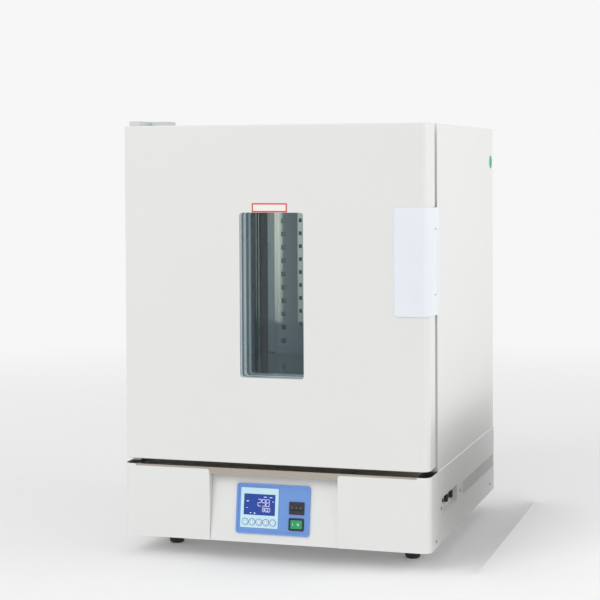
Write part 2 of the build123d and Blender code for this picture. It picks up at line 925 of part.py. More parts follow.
def hinge_cover():
    # a plastic hood over the upper arm, higher towards the back
    half = arm_width / 2 + cover_margin + fit
    front = hinge_y - arm_front_margin - cover_margin - fit
    foot_front = cabinet_front_y + arm_foot_setback - cover_margin - fit
    foot_back = cabinet_front_y + arm_foot_setback + arm_foot_depth + cover_margin + fit
    right = hinge_x + half + arm_foot_width - arm_width
    top = body_top + cover_height
    low = body_top + top_arm_lift
    hood = block(hinge_x - half, hinge_x + half, front, foot_front, low, top)
    hood += block(hinge_x - half, right, foot_front, foot_back, body_top, top)
    hood = fillet(hood.faces().sort_by(Axis.Z)[-1].edges(), cover_edge_radius)
    inner_half = half - cover_wall
    ceiling = top - cover_wall
    hood -= block(
        hinge_x - inner_half, hinge_x + inner_half, front + cover_wall, foot_front + 2 * cover_wall,
        body_top - 1, ceiling,
    )
    return hood - block(
        hinge_x - inner_half, right - cover_wall, foot_front + cover_wall, foot_back - cover_wall,
        body_top - 1, ceiling,
    )


# Base


def base_front(side):
    # a folded front with a round outer corner and a return along the side
    inner_edge = panel_width / 2
    outer = block(
        inner_edge, base_half, front_y, front_y + front_return_depth, base_bottom, base_top
    )
    front_edges = outer.edges().filter_by(Axis.Z).group_by(Axis.Y)[0].sort_by(Axis.X)
    outer = fillet(front_edges[-1], corner_radius)
    hollow = block(
        inner_edge + sheet, base_half - sheet, front_y + sheet, front_y + front_return_depth + sheet,
        base_bottom - sheet, base_top + sheet,
    )
    hollow_edges = hollow.edges().filter_by(Axis.Z).group_by(Axis.Y)[0].sort_by(Axis.X)
    hollow = fillet(hollow_edges[-1], corner_radius - sheet)
    skin = outer - hollow
    skin -= block(
        inner_edge - sheet, inner_edge + 2 * sheet, front_y + front_inner_flange,
        front_y + front_return_depth + sheet, base_bottom - sheet, base_top + sheet,
    )
    skin -= block(
        inner_edge - sheet, ledge_width / 2 + fit, front_y - sheet, front_y + 2 * sheet,
        base_top - ledge_reveal, base_top + sheet,
    )
    skin -= block(
        inner_edge - sheet, inner_edge + 2 * sheet, front_y + sheet, front_y + front_return_depth,
        base_top - ledge_lip - fit, base_top + sheet,
    )
    corner_x, corner_z = inner_edge + front_top_corner, base_top - ledge_reveal - front_top_corner
    skin -= block(
        inner_edge - sheet, corner_x, front_y - sheet, front_y + 2 * sheet, corner_z, base_top
    ) - rod((corner_x, front_y - sheet, corner_z), (0, 1, 0), 2 * front_top_corner, 3 * sheet)
    skin -= screw_holes(front_screws(1))
    return skin if side > 0 else mirrored(skin)


def steel_ledge():
    # a stainless strip that covers the top of the base under the door
    half = ledge_width / 2
    lip_front = front_y + sheet + fit / 3
    ledge = block(-half, half, lip_front, cabinet_front_y - fit / 3, base_top - ledge_sheet, base_top)
    return ledge + block(-half, half, lip_front, lip_front + ledge_sheet, base_top - ledge_lip, base_top)


def control_panel():
    half = panel_width / 2 - panel_gap
    plate = panel_block(0, panel_length / 2, 2 * half, panel_length, -panel_sheet, 0)
    for side in (-1, 1):
        plate += panel_block(
            side * (half - panel_sheet / 2), panel_length / 2, panel_sheet, panel_length, -panel_flange, 0
        )
    plate -= panel_block(
        bezel_centre_across, bezel_centre_up, bezel_width - 2 * bezel_lap, bezel_height - 2 * bezel_lap,
        -2 * panel_sheet, panel_sheet,
    )
    return on_panel(plate)


def panel_bezel():
    # a moulded frame with a raised rim, a plug into the panel and three openings
    frame = panel_block(
        bezel_centre_across, bezel_centre_up, bezel_width, bezel_height, 0,
        bezel_thickness + bezel_rim_height, bezel_corner_radius,
    )
    frame = fillet(frame.faces().sort_by(Axis.Z)[-1].edges(), bezel_rim_height / 2)
    frame -= panel_block(
        bezel_centre_across, bezel_centre_up, bezel_width - 2 * bezel_rim_width,
        bezel_height - 2 * bezel_rim_width, bezel_thickness, bezel_thickness + 2 * bezel_rim_height,
        bezel_corner_radius - bezel_rim_width / 2,
    )
    frame += panel_block(
        bezel_centre_across, bezel_centre_up, bezel_width - 2 * bezel_lap - 2 * fit,
        bezel_height - 2 * bezel_lap - 2 * fit, -bezel_plug_depth, 0,
    )
    through = bezel_plug_depth + bezel_thickness + 2 * bezel_rim_height
    for across, up, width, height in (
        (controller_across, controller_up, controller_body_size, controller_body_size),
        (right_column_across, thumbwheel_up, thumbwheel_body(0), thumbwheel_body(1)),
        (right_column_across, switch_up, switch_body(0), switch_body(1)),
    ):
        frame -= panel_block(
            across, up, width + 2 * fit, height + 2 * fit, -2 * bezel_plug_depth, through
        )
    return on_panel(frame)


def thumbwheel_body(index):
    return (thumbwheel_case_width, thumbwheel_case_height)[index] - 2 * body_step


def switch_body(index):
    return (switch_width, switch_height)[index] - 2 * body_step


def key_places():
    middle = (key_count - 1) / 2
    return [
        (controller_across + (step - middle) * key_pitch, controller_up - key_drop)
        for step in range(key_count)
    ]


def controller_case():
    face_top = bezel_thickness + controller_proud
    case = panel_block(
        controller_across, controller_up, controller_size, controller_size, bezel_thickness, face_top,
        controller_corner_radius,
    )
    case = fillet(case.faces().sort_by(Axis.Z)[-1].edges(), controller_proud / 3)
    case += panel_block(
        controller_across, controller_up, controller_body_size, controller_body_size,
        bezel_thickness - controller_body_depth, bezel_thickness,
    )
    case -= panel_block(
        controller_across, controller_up + display_up, display_width, display_height,
        face_top - display_depth, face_top + 1,
    )
    for across, up in key_places():
        well = Cylinder(key_diameter / 2 + key_play, 2 * key_length)
        case -= Pos(across, up, face_top + key_proud - key_travel - key_play) * well
    return on_panel(case)


def display_window():
    top = bezel_thickness + controller_proud - display_depth + display_thickness
    return on_panel(
        panel_block(
            controller_across, controller_up + display_up, display_width - 2 * fit, display_height - 2 * fit,
            top - display_thickness, top,
        )
    )


def key(step):
    across, up = key_places()[step]
    face_top = bezel_thickness + controller_proud
    cap = Pos(across, up, face_top + key_proud - key_length / 2) * Cylinder(key_diameter / 2, key_length)
    cap = fillet(cap.faces().sort_by(Axis.Z)[-1].edges(), key_proud / 2)
    return on_panel(cap)


def thumbwheel_places():
    middle = (thumbwheel_count - 1) / 2
    return [right_column_across + (step - middle) * thumbwheel_pitch for step in range(thumbwheel_count)]


def thumbwheel_axis_depth():
    return bezel_thickness + thumbwheel_case_proud + thumbwheel_proud - thumbwheel_diameter / 2


def thumbwheel_case():
    # a block with a slot for each wheel and one axle through all of them
    face_top = bezel_thickness + thumbwheel_case_proud
    case = panel_block(
        right_column_across, thumbwheel_up, thumbwheel_case_width, thumbwheel_case_height,
        bezel_thickness, face_top, controller_corner_radius / 2,
    )
    case += panel_block(
        right_column_across, thumbwheel_up, thumbwheel_body(0), thumbwheel_body(1),
        bezel_thickness - thumbwheel_case_depth, bezel_thickness,
    )
    depth = thumbwheel_axis_depth()
    radius = thumbwheel_diameter / 2 + thumbwheel_play
    turn = Rot(0, 90, 0)
    for across in thumbwheel_places():
        slot = turn * Cylinder(radius, thumbwheel_width + 2 * thumbwheel_play)
        case -= Pos(across, thumbwheel_up, depth) * slot
    axle = turn * Cylinder(thumbwheel_bore / 2, thumbwheel_body(0))
    return on_panel(case + Pos(right_column_across, thumbwheel_up, depth) * axle)


def thumbwheel(step):
    wheel = Cylinder(thumbwheel_diameter / 2, thumbwheel_width)
    wheel -= Cylinder(thumbwheel_bore / 2 + running_clearance, 2 * thumbwheel_width)
    notch = Cylinder(thumbwheel_play, 2 * thumbwheel_width)
    for turn in range(thumbwheel_notches):
        wheel -= Rot(0, 0, 360 * turn / thumbwheel_notches) * Pos(thumbwheel_diameter / 2, 0, 0) * notch
    place = Pos(thumbwheel_places()[step], thumbwheel_up, thumbwheel_axis_depth())
    return on_panel(place * Rot(0, 90, 0) * wheel)


def switch_case():
    face_top = bezel_thickness + switch_proud
    case = panel_block(
        right_column_across, switch_up, switch_width, switch_height, bezel_thickness, face_top,
        controller_corner_radius,
    )
    case = fillet(case.faces().sort_by(Axis.Z)[-1].edges(), switch_proud / 3)
    case += panel_block(
        right_column_across, switch_up, switch_body(0), switch_body(1),
        bezel_thickness - switch_body_depth, bezel_thickness,
    )
    case -= panel_block(
        right_column_across, switch_up, rocker_width + 2 * rocker_play, rocker_height + 2 * rocker_play,
        face_top - rocker_depth - 3 * rocker_play, face_top + 1,
    )
    pin = Rot(90, 0, 0) * Cylinder(
        rocker_pin_diameter / 2 + running_clearance, rocker_height + 2 * rocker_pin_length + 2 * rocker_play
    )
    return on_panel(case - Pos(right_column_across, switch_up, face_top - rocker_pivot_depth) * pin)


def rocker():
    # two faces meet in a shallow valley over the pivot pins, tilted to one side at rest
    half = rocker_width / 2
    rise = half * sin(radians(rocker_tilt))
    lower_half = half - rocker_depth * sin(radians(rocker_tilt)) - rocker_play
    outline = Polyline(
        (-half, rocker_pivot_depth + rise), (0, rocker_pivot_depth), (half, rocker_pivot_depth + rise),
        (half, 0), (lower_half, rocker_pivot_depth - rocker_depth + rise),
        (-lower_half, rocker_pivot_depth - rocker_depth + rise), (-half, 0), close=True,
    )
    plane = Plane(origin=(0, rocker_height / 2, 0), x_dir=(1, 0, 0), z_dir=(0, -1, 0))
    body = extrude(plane * make_face(outline), rocker_height)
    body += Rot(90, 0, 0) * Cylinder(rocker_pin_diameter / 2, rocker_height + 2 * rocker_pin_length)
    body = Rot(0, rocker_tilt, 0) * body
    face_top = bezel_thickness + switch_proud
    return on_panel(Pos(right_column_across, switch_up, face_top - rocker_pivot_depth) * body)


def louvre_slots():
    slots = []
    for step in range(louvre_count):
        y = front_y + louvre_front + step * louvre_pitch
        slots.append(
            block(
                base_half - 2 * tray_sheet, base_half + tray_sheet, y, y + louvre_width,
                base_bottom + louvre_bottom, base_bottom + louvre_bottom + louvre_height,
            )
        )
    return Compound(slots)


def base_side(side):
    # a folded side with flanges above and below, and a strip of slots for air
    y_low = front_y + front_return_depth + fit
    outer = block(base_half - side_flange, base_half, y_low, back_y, base_bottom, base_top)
    long_edges = outer.edges().filter_by(Axis.Y).group_by(Axis.X)[-1]
    outer = fillet(long_edges, side_edge_radius)
    inner = block(
        base_half - 2 * side_flange, base_half - tray_sheet, y_low - sheet, back_y + sheet,
        base_bottom + tray_sheet, base_top - tray_sheet,
    )
    inner_edges = inner.edges().filter_by(Axis.Y).group_by(Axis.X)[-1]
    inner = fillet(inner_edges, side_edge_radius - tray_sheet)
    skin = outer - inner - louvre_slots() - screw_holes(side_screws(1))
    if side < 0:
        return mirrored(skin)
    hole = block(
        base_half - 2 * tray_sheet, base_half + tray_sheet, front_y + pocket_front,
        front_y + pocket_front + pocket_length, base_bottom + pocket_bottom,
        base_bottom + pocket_bottom + pocket_height,
    )
    return skin - hole


def side_pocket():
    # a pressed recess behind the right side, with holes for the fuse holders
    y_low = front_y + pocket_front + fit
    y_high = front_y + pocket_front + pocket_length - fit
    z_low = base_bottom + pocket_bottom + fit
    z_high = base_bottom + pocket_bottom + pocket_height - fit
    back = base_half - tray_sheet
    pocket = block(pocket_floor_x - sheet, base_half - fit, y_low, y_high, z_low, z_high)
    pocket += block(
        back - sheet, back, y_low - pocket_flange, y_high + pocket_flange,
        z_low - pocket_flange, z_high + pocket_flange,
    )
    pocket -= block(
        pocket_floor_x, base_half + sheet, y_low + sheet, y_high - sheet, z_low + sheet, z_high - sheet
    )
    for y in fuse_places():
        pocket -= rod((pocket_floor_x - 2 * sheet, y, pocket_z), (1, 0, 0), fuse_body_diameter + fit, 3 * sheet)
    return pocket - rod(
        (pocket_floor_x - 2 * sheet, front_y + fitting_front, pocket_z), (1, 0, 0),
        fitting_diameter - 2 + fit, 3 * sheet,
    )


def fuse_places():
    return [front_y + fuse_front, front_y + fuse_front + fuse_pitch]


def fuse_holders():
    pieces = []
    for y in fuse_places():
        holder = rod((pocket_floor_x, y, pocket_z), (-1, 0, 0), fuse_body_diameter, fuse_body_length)
        holder += rod((pocket_floor_x, y, pocket_z), (1, 0, 0), fuse_collar_diameter, fuse_collar_thickness)
        holder -= rod(
            (pocket_floor_x + 2 * sheet, y, pocket_z), (-1, 0, 0),
            fuse_stem_diameter + 2 * running_clearance, fuse_stem_length + 3 * sheet,
        )
        pieces.append(holder)
    y = front_y + fitting_front
    small = rod((pocket_floor_x, y, pocket_z), (1, 0, 0), fitting_diameter, fitting_length / 2)
    small += rod((pocket_floor_x, y, pocket_z), (-1, 0, 0), fitting_diameter - 2, fitting_length)
    pieces.append(small)
    return Compound(pieces)


def fuse_cap(y):
    start_x = pocket_floor_x + fuse_collar_thickness + fit
    cap = rod((start_x, y, pocket_z), (1, 0, 0), fuse_cap_diameter, fuse_cap_length)
    cap = chamfer(cap.faces().sort_by(Axis.X)[-1].edges(), fuse_collar_thickness)
    for step in range(fuse_cap_flutes):
        groove = Rot(0, 90, 0) * Cylinder(fuse_collar_thickness, 3 * fuse_cap_length)
        turn = Rot(360 * step / fuse_cap_flutes, 0, 0)
        cap -= Pos(start_x, y, pocket_z) * turn * Pos(0, fuse_cap_diameter / 2, 0) * groove
    stem = fuse_stem_length + fuse_collar_thickness + fit
    return cap + rod((start_x, y, pocket_z), (-1, 0, 0), fuse_stem_diameter, stem)


def base_rear():
    half = base_half - tray_sheet - fit
    plate = front_slab(
        -half, half, base_bottom + tray_sheet + fit, base_top - tray_sheet - fit, back_y - sheet, back_y
    )
    z = base_bottom + inlet_height
    plate -= front_slab(
        inlet_offset - inlet_body_width / 2 - fit, inlet_offset + inlet_body_width / 2 + fit,
        z - inlet_body_height / 2 - fit, z + inlet_body_height / 2 + fit, back_y - 2 * sheet, back_y + sheet,
    )
    return plate - screw_holes(base_rear_screws())


def power_inlet():
    # a three-pin inlet, flanged on the outside of the rear panel
    z = base_bottom + inlet_height
    inlet = front_slab(
        inlet_offset - inlet_flange_width / 2, inlet_offset + inlet_flange_width / 2,
        z - inlet_flange_height / 2, z + inlet_flange_height / 2, back_y, back_y + inlet_flange_thickness,
        inlet_corner_radius,
    )
    inlet += front_slab(
        inlet_offset - inlet_body_width / 2, inlet_offset + inlet_body_width / 2,
        z - inlet_body_height / 2, z + inlet_body_height / 2,
        back_y - inlet_body_depth, back_y + inlet_flange_thickness,
    )
    floor_y = back_y + inlet_flange_thickness - inlet_recess_depth
    inlet -= front_slab(
        inlet_offset - inlet_recess_width / 2, inlet_offset + inlet_recess_width / 2,
        z - inlet_recess_height / 2, z + inlet_recess_height / 2,
        floor_y, back_y + 2 * inlet_flange_thickness, inlet_corner_radius,
    )
    for across, up in ((-inlet_pin_pitch, 0), (0, inlet_pin_pitch / 2), (inlet_pin_pitch, 0)):
        inlet += block(
            inlet_offset + across - inlet_pin_width / 2, inlet_offset + across + inlet_pin_width / 2,
            floor_y, floor_y + inlet_pin_length,
            z + up - inlet_pin_height / 2, z + up + inlet_pin_height / 2,
        )
    return inlet


def base_tray():
    # the bottom plate has a rim all round and a notch behind the control panel
    half = base_half - side_edge_radius
    y_low = front_y + tray_front_gap
    y_high = back_y - sheet - fit
    z_low = base_bottom + tray_sheet + fit / 3
    tray = block(-half, half, y_low, y_high, z_low, z_low + tray_rim)
    tray = fillet(tray.edges().filter_by(Axis.Z).group_by(Axis.Y)[0], corner_radius)
    hollow = block(
        tray_sheet - half, half - tray_sheet, y_low + tray_sheet, y_high - tray_sheet,
        z_low + tray_sheet, z_low + 2 * tray_rim,
    )
    tray -= fillet(hollow.edges().filter_by(Axis.Z).group_by(Axis.Y)[0], corner_radius - tray_sheet)
    notch_half = panel_width / 2 + sheet + fit
    tray -= block(
        -notch_half, notch_half, y_low - sheet, front_y + front_inner_flange + fit,
        base_bottom, z_low + 2 * tray_rim,
    )
    for x, y in foot_places:
        tray -= rod((x, y, base_bottom - 1), (0, 0, 1), foot_stud_diameter + 2 * fit, 2 * foot_stud_length)
    return tray - screw_holes(front_screws(-1) + front_screws(1))


def rubber_feet():
    top = base_bottom + tray_sheet + fit / 3
    feet = []
    for x, y in foot_places:
        outline = Polyline(
            (0, 0), (foot_bottom_diameter / 2, 0), (foot_top_diameter / 2, top), (0, top), close=True
        )
        foot = revolve(Plane.XZ * make_face(outline), Axis.Z)
        foot = fillet(foot.faces().sort_by(Axis.Z)[0].edges(), foot_edge_radius)
        foot += rod((0, 0, top), (0, 0, 1), foot_stud_diameter, foot_stud_length)
        feet.append(Pos(x, y, 0) * foot)
    return Compound(feet)


def tray_floor():
    return base_bottom + 2 * tray_sheet + fit / 3


def base_electronics():
    return Compound([circuit_board(), power_relay()])


def circuit_board():
    y = front_y + board_front
    low = tray_floor()
    top = low + standoff_height + board_thickness
    board = block(board_left, board_left + board_width, y, y + board_depth, top - board_thickness, top)
    for across in (standoff_inset, board_width - standoff_inset):
        for along in (standoff_inset, board_depth - standoff_inset):
            board += rod((board_left + across, y + along, low), (0, 0, 1), standoff_diameter, standoff_height)
    side = board_left + 2 * standoff_inset
    board += block(side, side + transformer_width, y + 2 * standoff_inset,
                   y + 2 * standoff_inset + transformer_depth, top, top + transformer_height)
    for step in range(2):
        x = side + transformer_width + (step + 1) * 1.5 * capacitor_diameter
        board += rod((x, y + 2.5 * standoff_inset, top), (0, 0, 1), capacitor_diameter, capacitor_height)
    board += block(
        side, side + terminal_length, y + board_depth - standoff_inset - terminal_height,
        y + board_depth - standoff_inset, top, top + terminal_height,
    )
    return board


def power_relay():
    # a solid-state relay on a finned heat sink
    y = front_y + relay_front
    low = tray_floor()
    relay = block(relay_left, relay_left + sink_width, y, y + sink_depth, low, low + sink_base)
    gap = (sink_width - sink_fin_thickness) / (sink_fins - 1)
    for step in range(sink_fins):
        x = relay_left + step * gap
        relay += block(
            x, x + sink_fin_thickness, y + relay_length / 2 + sink_base, y + sink_depth,
            low + sink_base, low + sink_base + sink_fin_height,
        )
    middle = relay_left + sink_width / 2
    return relay + block(
        middle - relay_width / 2, middle + relay_width / 2, y, y + relay_length / 2,
        low + sink_base, low + sink_base + relay_height,
    )


# Screws: each has its place on the panel and the direction that its head faces


def rear_screws():
    side = half_width - rear_screw_inset
    return [
        (x, back_y, z, (0, 1, 0))
        for x in (-side, side)
        for z in (base_top + rear_screw_inset, (base_top + body_top) / 2, body_top - rear_screw_inset)
    ]


def cover_screws():
    brim = motor_cover_width / 2 + motor_cover_flange / 2
    return [
        (side_x * brim, back_y + sheet, fan_z + side_z * brim, (0, 1, 0))
        for side_x in (-1, 1)
        for side_z in (-1, 1)
    ]


def base_rear_screws():
    side = half_width - rear_screw_inset
    return [(x, back_y, base_bottom + base_height / 2, (0, 1, 0)) for x in (-side, side)]


def front_screws(side):
    return [(side * base_half, front_y + 45.6, base_bottom + 12.8, (side, 0, 0))]


def side_screws(side):
    places = ((88, 64), (258, 64.5), (564, 20))
    return [(side * base_half, front_y + y, base_bottom + z, (side, 0, 0)) for y, z in places]


def screw_holes(screws):
    holes = []
    for x, y, z, facing in screws:
        start = Vector(x, y, z) + Vector(*facing) * 2 * sheet
        inward = Vector(*facing) * -1
        holes.append(rod(start, inward, screw_shank_diameter + 2 * screw_hole_play, 6 * sheet))
    return Compound(holes)


def screw(x, y, z, facing):
    head = extrude(Plane((x, y, z), z_dir=facing) * Circle(screw_head_diameter / 2), screw_head_height)
    axis = {(0, 1, 0): Axis.Y, (1, 0, 0): Axis.X}.get(facing)
    outer = head.faces().sort_by(axis)[-1] if axis else head.faces().sort_by(Axis.X)[0]
    head = fillet(outer.edges(), screw_head_height / 2)
    return head + rod((x, y, z), Vector(*facing) * -1, screw_shank_diameter, screw_shank_length)


def panel_screws():
    screws = rear_screws() + cover_screws() + base_rear_screws()
    for side in (-1, 1):
        screws += front_screws(side) + side_screws(side)
    return Compound([screw(*place) for place in screws])


# Door


def window_slab(growth, y_low, y_high):
    return front_slab(
        window_left - growth, window_right + growth, window_bottom - growth, window_top + growth,
        y_low, y_high, window_corner_radius + growth,
    )


def rounded_door(inset, y_low, y_high, front_radius):
    # the door from above has round front corners
    solid = block(
        inset - half_width, half_width - inset, y_low, y_high, door_bottom + inset, door_top - inset
    )
    return fillet(solid.edges().filter_by(Axis.Z).group_by(Axis.Y)[0], front_radius)


def door_skin():
    outer = rounded_door(0, front_y, seam_y, corner_radius)
    outer = fillet(outer.faces().sort_by(Axis.Y)[0].edges(), door_edge_radius)
    skin = outer - rounded_door(sheet, front_y + sheet, seam_y + sheet, corner_radius - sheet)
    return skin - window_slab(0, front_y - sheet, front_y + 2 * sheet)


def plug_solid(inset, y_low):
    side = chamber_half - plug_margin - inset
    plug = front_slab(
        -side, side, chamber_bottom + plug_margin + inset, chamber_top - plug_margin - inset,
        y_low, plug_back_y - inset, plug_corner_radius - inset,
    )
    return plug


def pan_solid(inset, y_low, y_high):
    side = half_width - pan_inset - inset
    low = door_bottom + pan_inset + inset
    return block(-side, side, y_low, y_high, low, door_top - pan_inset - inset)


def latch_pocket(growth):
    right = half_width if growth == 0 else half_width - pan_inset - fit
    return block(
        half_width - latch_pocket_depth - growth, right, lever_front_y - latch_play - growth,
        door_back_y + (latch_play if growth == 0 else 0),
        lever_bottom - latch_play - growth, lever_top + latch_play + growth,
    )


def bush_places():
    return ((door_bottom, 1), (door_top, -1))


def bush_holes(growth):
    holes = []
    for z, up in bush_places():
        holes.append(
            rod((hinge_x, hinge_y, z - up * sheet), (0, 0, up), bush_diameter + 2 * growth, bush_length + 2 * sheet)
        )
    return Compound(holes)


def door_pan():
    # the inner pan carries the plug, the reveal and the pocket behind the latch lever
    pan = pan_solid(0, seam_y + fit / 3, door_back_y) + plug_solid(0, door_back_y - sheet)
    pan -= pan_solid(sheet, seam_y - sheet, door_back_y - sheet)
    pan -= plug_solid(sheet, seam_y)
    pan += latch_pocket(latch_pocket_wall)
    pan -= latch_pocket(0)
    pan -= window_slab(reveal_sheet + fit, seam_y, plug_back_y + sheet)
    return pan - bush_holes(fit / 3)


def door_insulation():
    wool = rounded_door(sheet + fit, front_y + sheet + fit, seam_y, corner_radius - sheet - fit)
    wool &= pan_solid(sheet + fit, front_y, seam_y)
    wool += pan_solid(sheet + fit, seam_y, door_back_y - sheet - fit)
    wool += plug_solid(sheet + fit, seam_y)
    wool -= latch_pocket(latch_pocket_wall + fit)
    wool -= window_slab(reveal_sheet + reveal_flange + fit, front_y, front_y + 2 * sheet + 2 * fit + reveal_sheet)
    wool -= window_slab(reveal_sheet + fit, front_y, plug_back_y + sheet)
    return wool - bush_holes(fit)


def window_frame():
    # the bright reveal is a tube through the door with a flange behind the skin
    front = front_y + sheet + fit / 3
    frame = window_slab(reveal_sheet, front, plug_back_y)
    frame += window_slab(reveal_sheet + reveal_flange, front, front + reveal_sheet)
    return frame - window_slab(0, front - sheet, plug_back_y + sheet)


def glass_pane(y_low):
    return window_slab(-fit / 3, y_low, y_low + glass_thickness)


def window_glass():
    outer_y = front_y + outer_glass_setback
    inner_y = plug_back_y - inner_glass_setback
    return Compound([glass_pane(outer_y), glass_pane(inner_y - glass_thickness)])


def hinge_bushes():
    bushes = []
    for z, up in bush_places():
        bush = rod((hinge_x, hinge_y, z), (0, 0, up), bush_diameter, bush_length)
        bore = hinge_pin_diameter + 2 * running_clearance
        bushes.append(bush - rod((hinge_x, hinge_y, z - up), (0, 0, up), bore, bush_length + 2))
    return Compound(bushes)


def handle_cover():
    # a plastic grip wrapped round the edge of the door, open at the side for the lever
    left = half_width - handle_left
    back = cabinet_front_y - fit
    grip = block(left, handle_right, front_y - handle_proud, back, handle_bottom, handle_top)
    front_edges = grip.edges().filter_by(Axis.Z).group_by(Axis.Y)[0].sort_by(Axis.X)
    grip = fillet(front_edges[-1], corner_radius + handle_proud)
    grip = fillet(grip.edges().filter_by(Axis.Y).group_by(Axis.X)[0], handle_corner_radius)
    grip = fillet(grip.faces().sort_by(Axis.Y)[0].edges(), handle_edge_radius)
    core = block(
        left - sheet, half_width + fit / 3, front_y, back + sheet, handle_bottom - sheet, handle_top + sheet
    )
    core_edges = core.edges().filter_by(Axis.Z).group_by(Axis.Y)[0].sort_by(Axis.X)
    grip -= fillet(core_edges[-1], corner_radius)
    play = lever_play
    grip -= block(
        half_width - handle_proud, handle_right + handle_proud, lever_front_y - play, lever_back_y + play,
        lever_bottom - play, lever_top + play,
    )
    notch_y = (lever_front_y + lever_back_y) / 2
    for z in (lever_bottom, lever_top):
        grip -= rod((half_width - 1, notch_y, z), (1, 0, 0), 2 * lever_notch_radius, 2 * handle_proud)
    axis_length = lever_height + 2 * lever_pin_length + 2 * play
    return grip - rod(
        (lever_axis_x, lever_axis_y, lever_bottom - lever_pin_length - play), (0, 0, 1),
        lever_pin_diameter + 2 * running_clearance, axis_length,
    )


def handle_lever():
    # a plate that turns on a round front bead, with a hook arm behind it
    plate = block(
        half_width + fit, handle_right, lever_axis_y, lever_back_y, lever_bottom, lever_top
    )
    plate = fillet(plate.edges().filter_by(Axis.Z).group_by(Axis.Y)[-1].sort_by(Axis.X)[-1], handle_edge_radius)
    lever = plate + rod((lever_axis_x, lever_axis_y, lever_bottom), (0, 0, 1), 2 * lever_bead_radius, lever_height)
    lever += rod(
        (lever_axis_x, lever_axis_y, lever_bottom - lever_pin_length), (0, 0, 1), lever_pin_diameter,
        lever_height + 2 * lever_pin_length,
    )
    tip, tooth_front, tooth_back = tooth_place()
    arm_outer = half_width - hook_inset
    arm_inner = arm_outer - hook_thickness
    web_front = (lever_front_y + lever_back_y) / 2
    low, high = latch_z - hook_height / 2, latch_z + hook_height / 2
    lever += block(arm_inner, half_width + 2 * fit, web_front, web_front + 2 * hook_thickness, low, high)
    lever += block(arm_inner, arm_outer, web_front, tooth_back, low, high)
    return lever + block(tip, arm_outer, tooth_front, tooth_back, low, high)


def write_parts(parts):
    os.makedirs("parts", exist_ok=True)
    for name, shape in parts.items():
        export_step(shape, f"parts/{name}.step")


def all_parts():
    parts = {
        "outer_shell": outer_shell(),
        "front_frame": front_frame(),
        "rear_panel": rear_panel(),
        "inner_chamber": inner_chamber(),
        "insulation": insulation(),
        "floor_plate": floor_plate(),
        "duct_cover": duct_cover(),
        "shelf_uprights": shelf_uprights(),
        "shelf_clips": shelf_clips(),
        "upper_shelf": wire_shelf(upper_shelf_z),
        "lower_shelf": wire_shelf(lower_shelf_z),
        "heater_element": heater_element(),
        "sensor_probes": sensor_probes(),
        "fan_impeller": fan_impeller(),
        "fan_motor": fan_motor(),
        "motor_cover": motor_cover(),
        "exhaust_pipe": exhaust_pipe(),
        "exhaust_damper": exhaust_damper(),
        "door_gasket": door_gasket(),
        "latch_striker": latch_striker(),
        "hinge_arms": hinge_arms(),
        "hinge_cover": hinge_cover(),
        "base_tray": base_tray(),
        "base_front_left": base_front(-1),
        "base_front_right": base_front(1),
        "base_side_left": base_side(-1),
        "base_side_right": base_side(1),
        "base_rear": base_rear(),
        "steel_ledge": steel_ledge(),
        "control_panel": control_panel(),
        "panel_bezel": panel_bezel(),
        "controller_case": controller_case(),
        "display_window": display_window(),
        "thumbwheel_case": thumbwheel_case(),
        "switch_case": switch_case(),
        "rocker": rocker(),
        "side_pocket": side_pocket(),
        "fuse_holders": fuse_holders(),
        "power_inlet": power_inlet(),
        "base_electronics": base_electronics(),
        "rubber_feet": rubber_feet(),
        "panel_screws": panel_screws(),
        "door_skin": door_skin(),
        "door_pan": door_pan(),
        "door_insulation": door_insulation(),
        "window_frame": window_frame(),
        "window_glass": window_glass(),
        "hinge_bushes": hinge_bushes(),
        "handle_cover": handle_cover(),
        "handle_lever": handle_lever(),
    }
    for step in range(key_count):
        parts[f"key_{step + 1}"] = key(step)
    for step in range(thumbwheel_count):
        parts[f"thumbwheel_{step + 1}"] = thumbwheel(step)
    for step, y in enumerate(fuse_places()):
        parts[f"fuse_cap_{step + 1}"] = fuse_cap(y)
    return parts


write_parts(all_parts())
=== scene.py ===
import math

import bmesh
import bpy
from mathutils import Matrix, Vector


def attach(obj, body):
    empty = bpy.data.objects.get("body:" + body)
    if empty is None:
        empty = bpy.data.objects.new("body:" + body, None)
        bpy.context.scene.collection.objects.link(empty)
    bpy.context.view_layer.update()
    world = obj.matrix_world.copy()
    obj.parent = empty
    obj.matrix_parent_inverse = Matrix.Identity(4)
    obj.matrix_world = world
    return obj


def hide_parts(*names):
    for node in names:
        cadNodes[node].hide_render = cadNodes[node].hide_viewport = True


# The oven's visual model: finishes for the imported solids, and the details that sit on them.

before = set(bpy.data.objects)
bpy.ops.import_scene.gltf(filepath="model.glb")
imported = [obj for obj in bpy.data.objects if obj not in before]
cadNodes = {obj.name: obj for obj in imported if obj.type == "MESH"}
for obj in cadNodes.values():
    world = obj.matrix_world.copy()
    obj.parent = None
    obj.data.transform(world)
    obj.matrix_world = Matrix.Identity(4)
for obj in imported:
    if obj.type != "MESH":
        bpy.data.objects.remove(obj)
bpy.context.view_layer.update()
print("frame loaded:", len(cadNodes), "nodes")

mm = 0.001


def tone(red, green, blue):
    # a screen colour from 0 to 255 as the linear colour that a shader takes
    def linear(c):
        c = c / 255
        return c / 12.92 if c < 0.04045 else ((c + 0.055) / 1.055) ** 2.4
    return (linear(red), linear(green), linear(blue), 1)


# Node trees

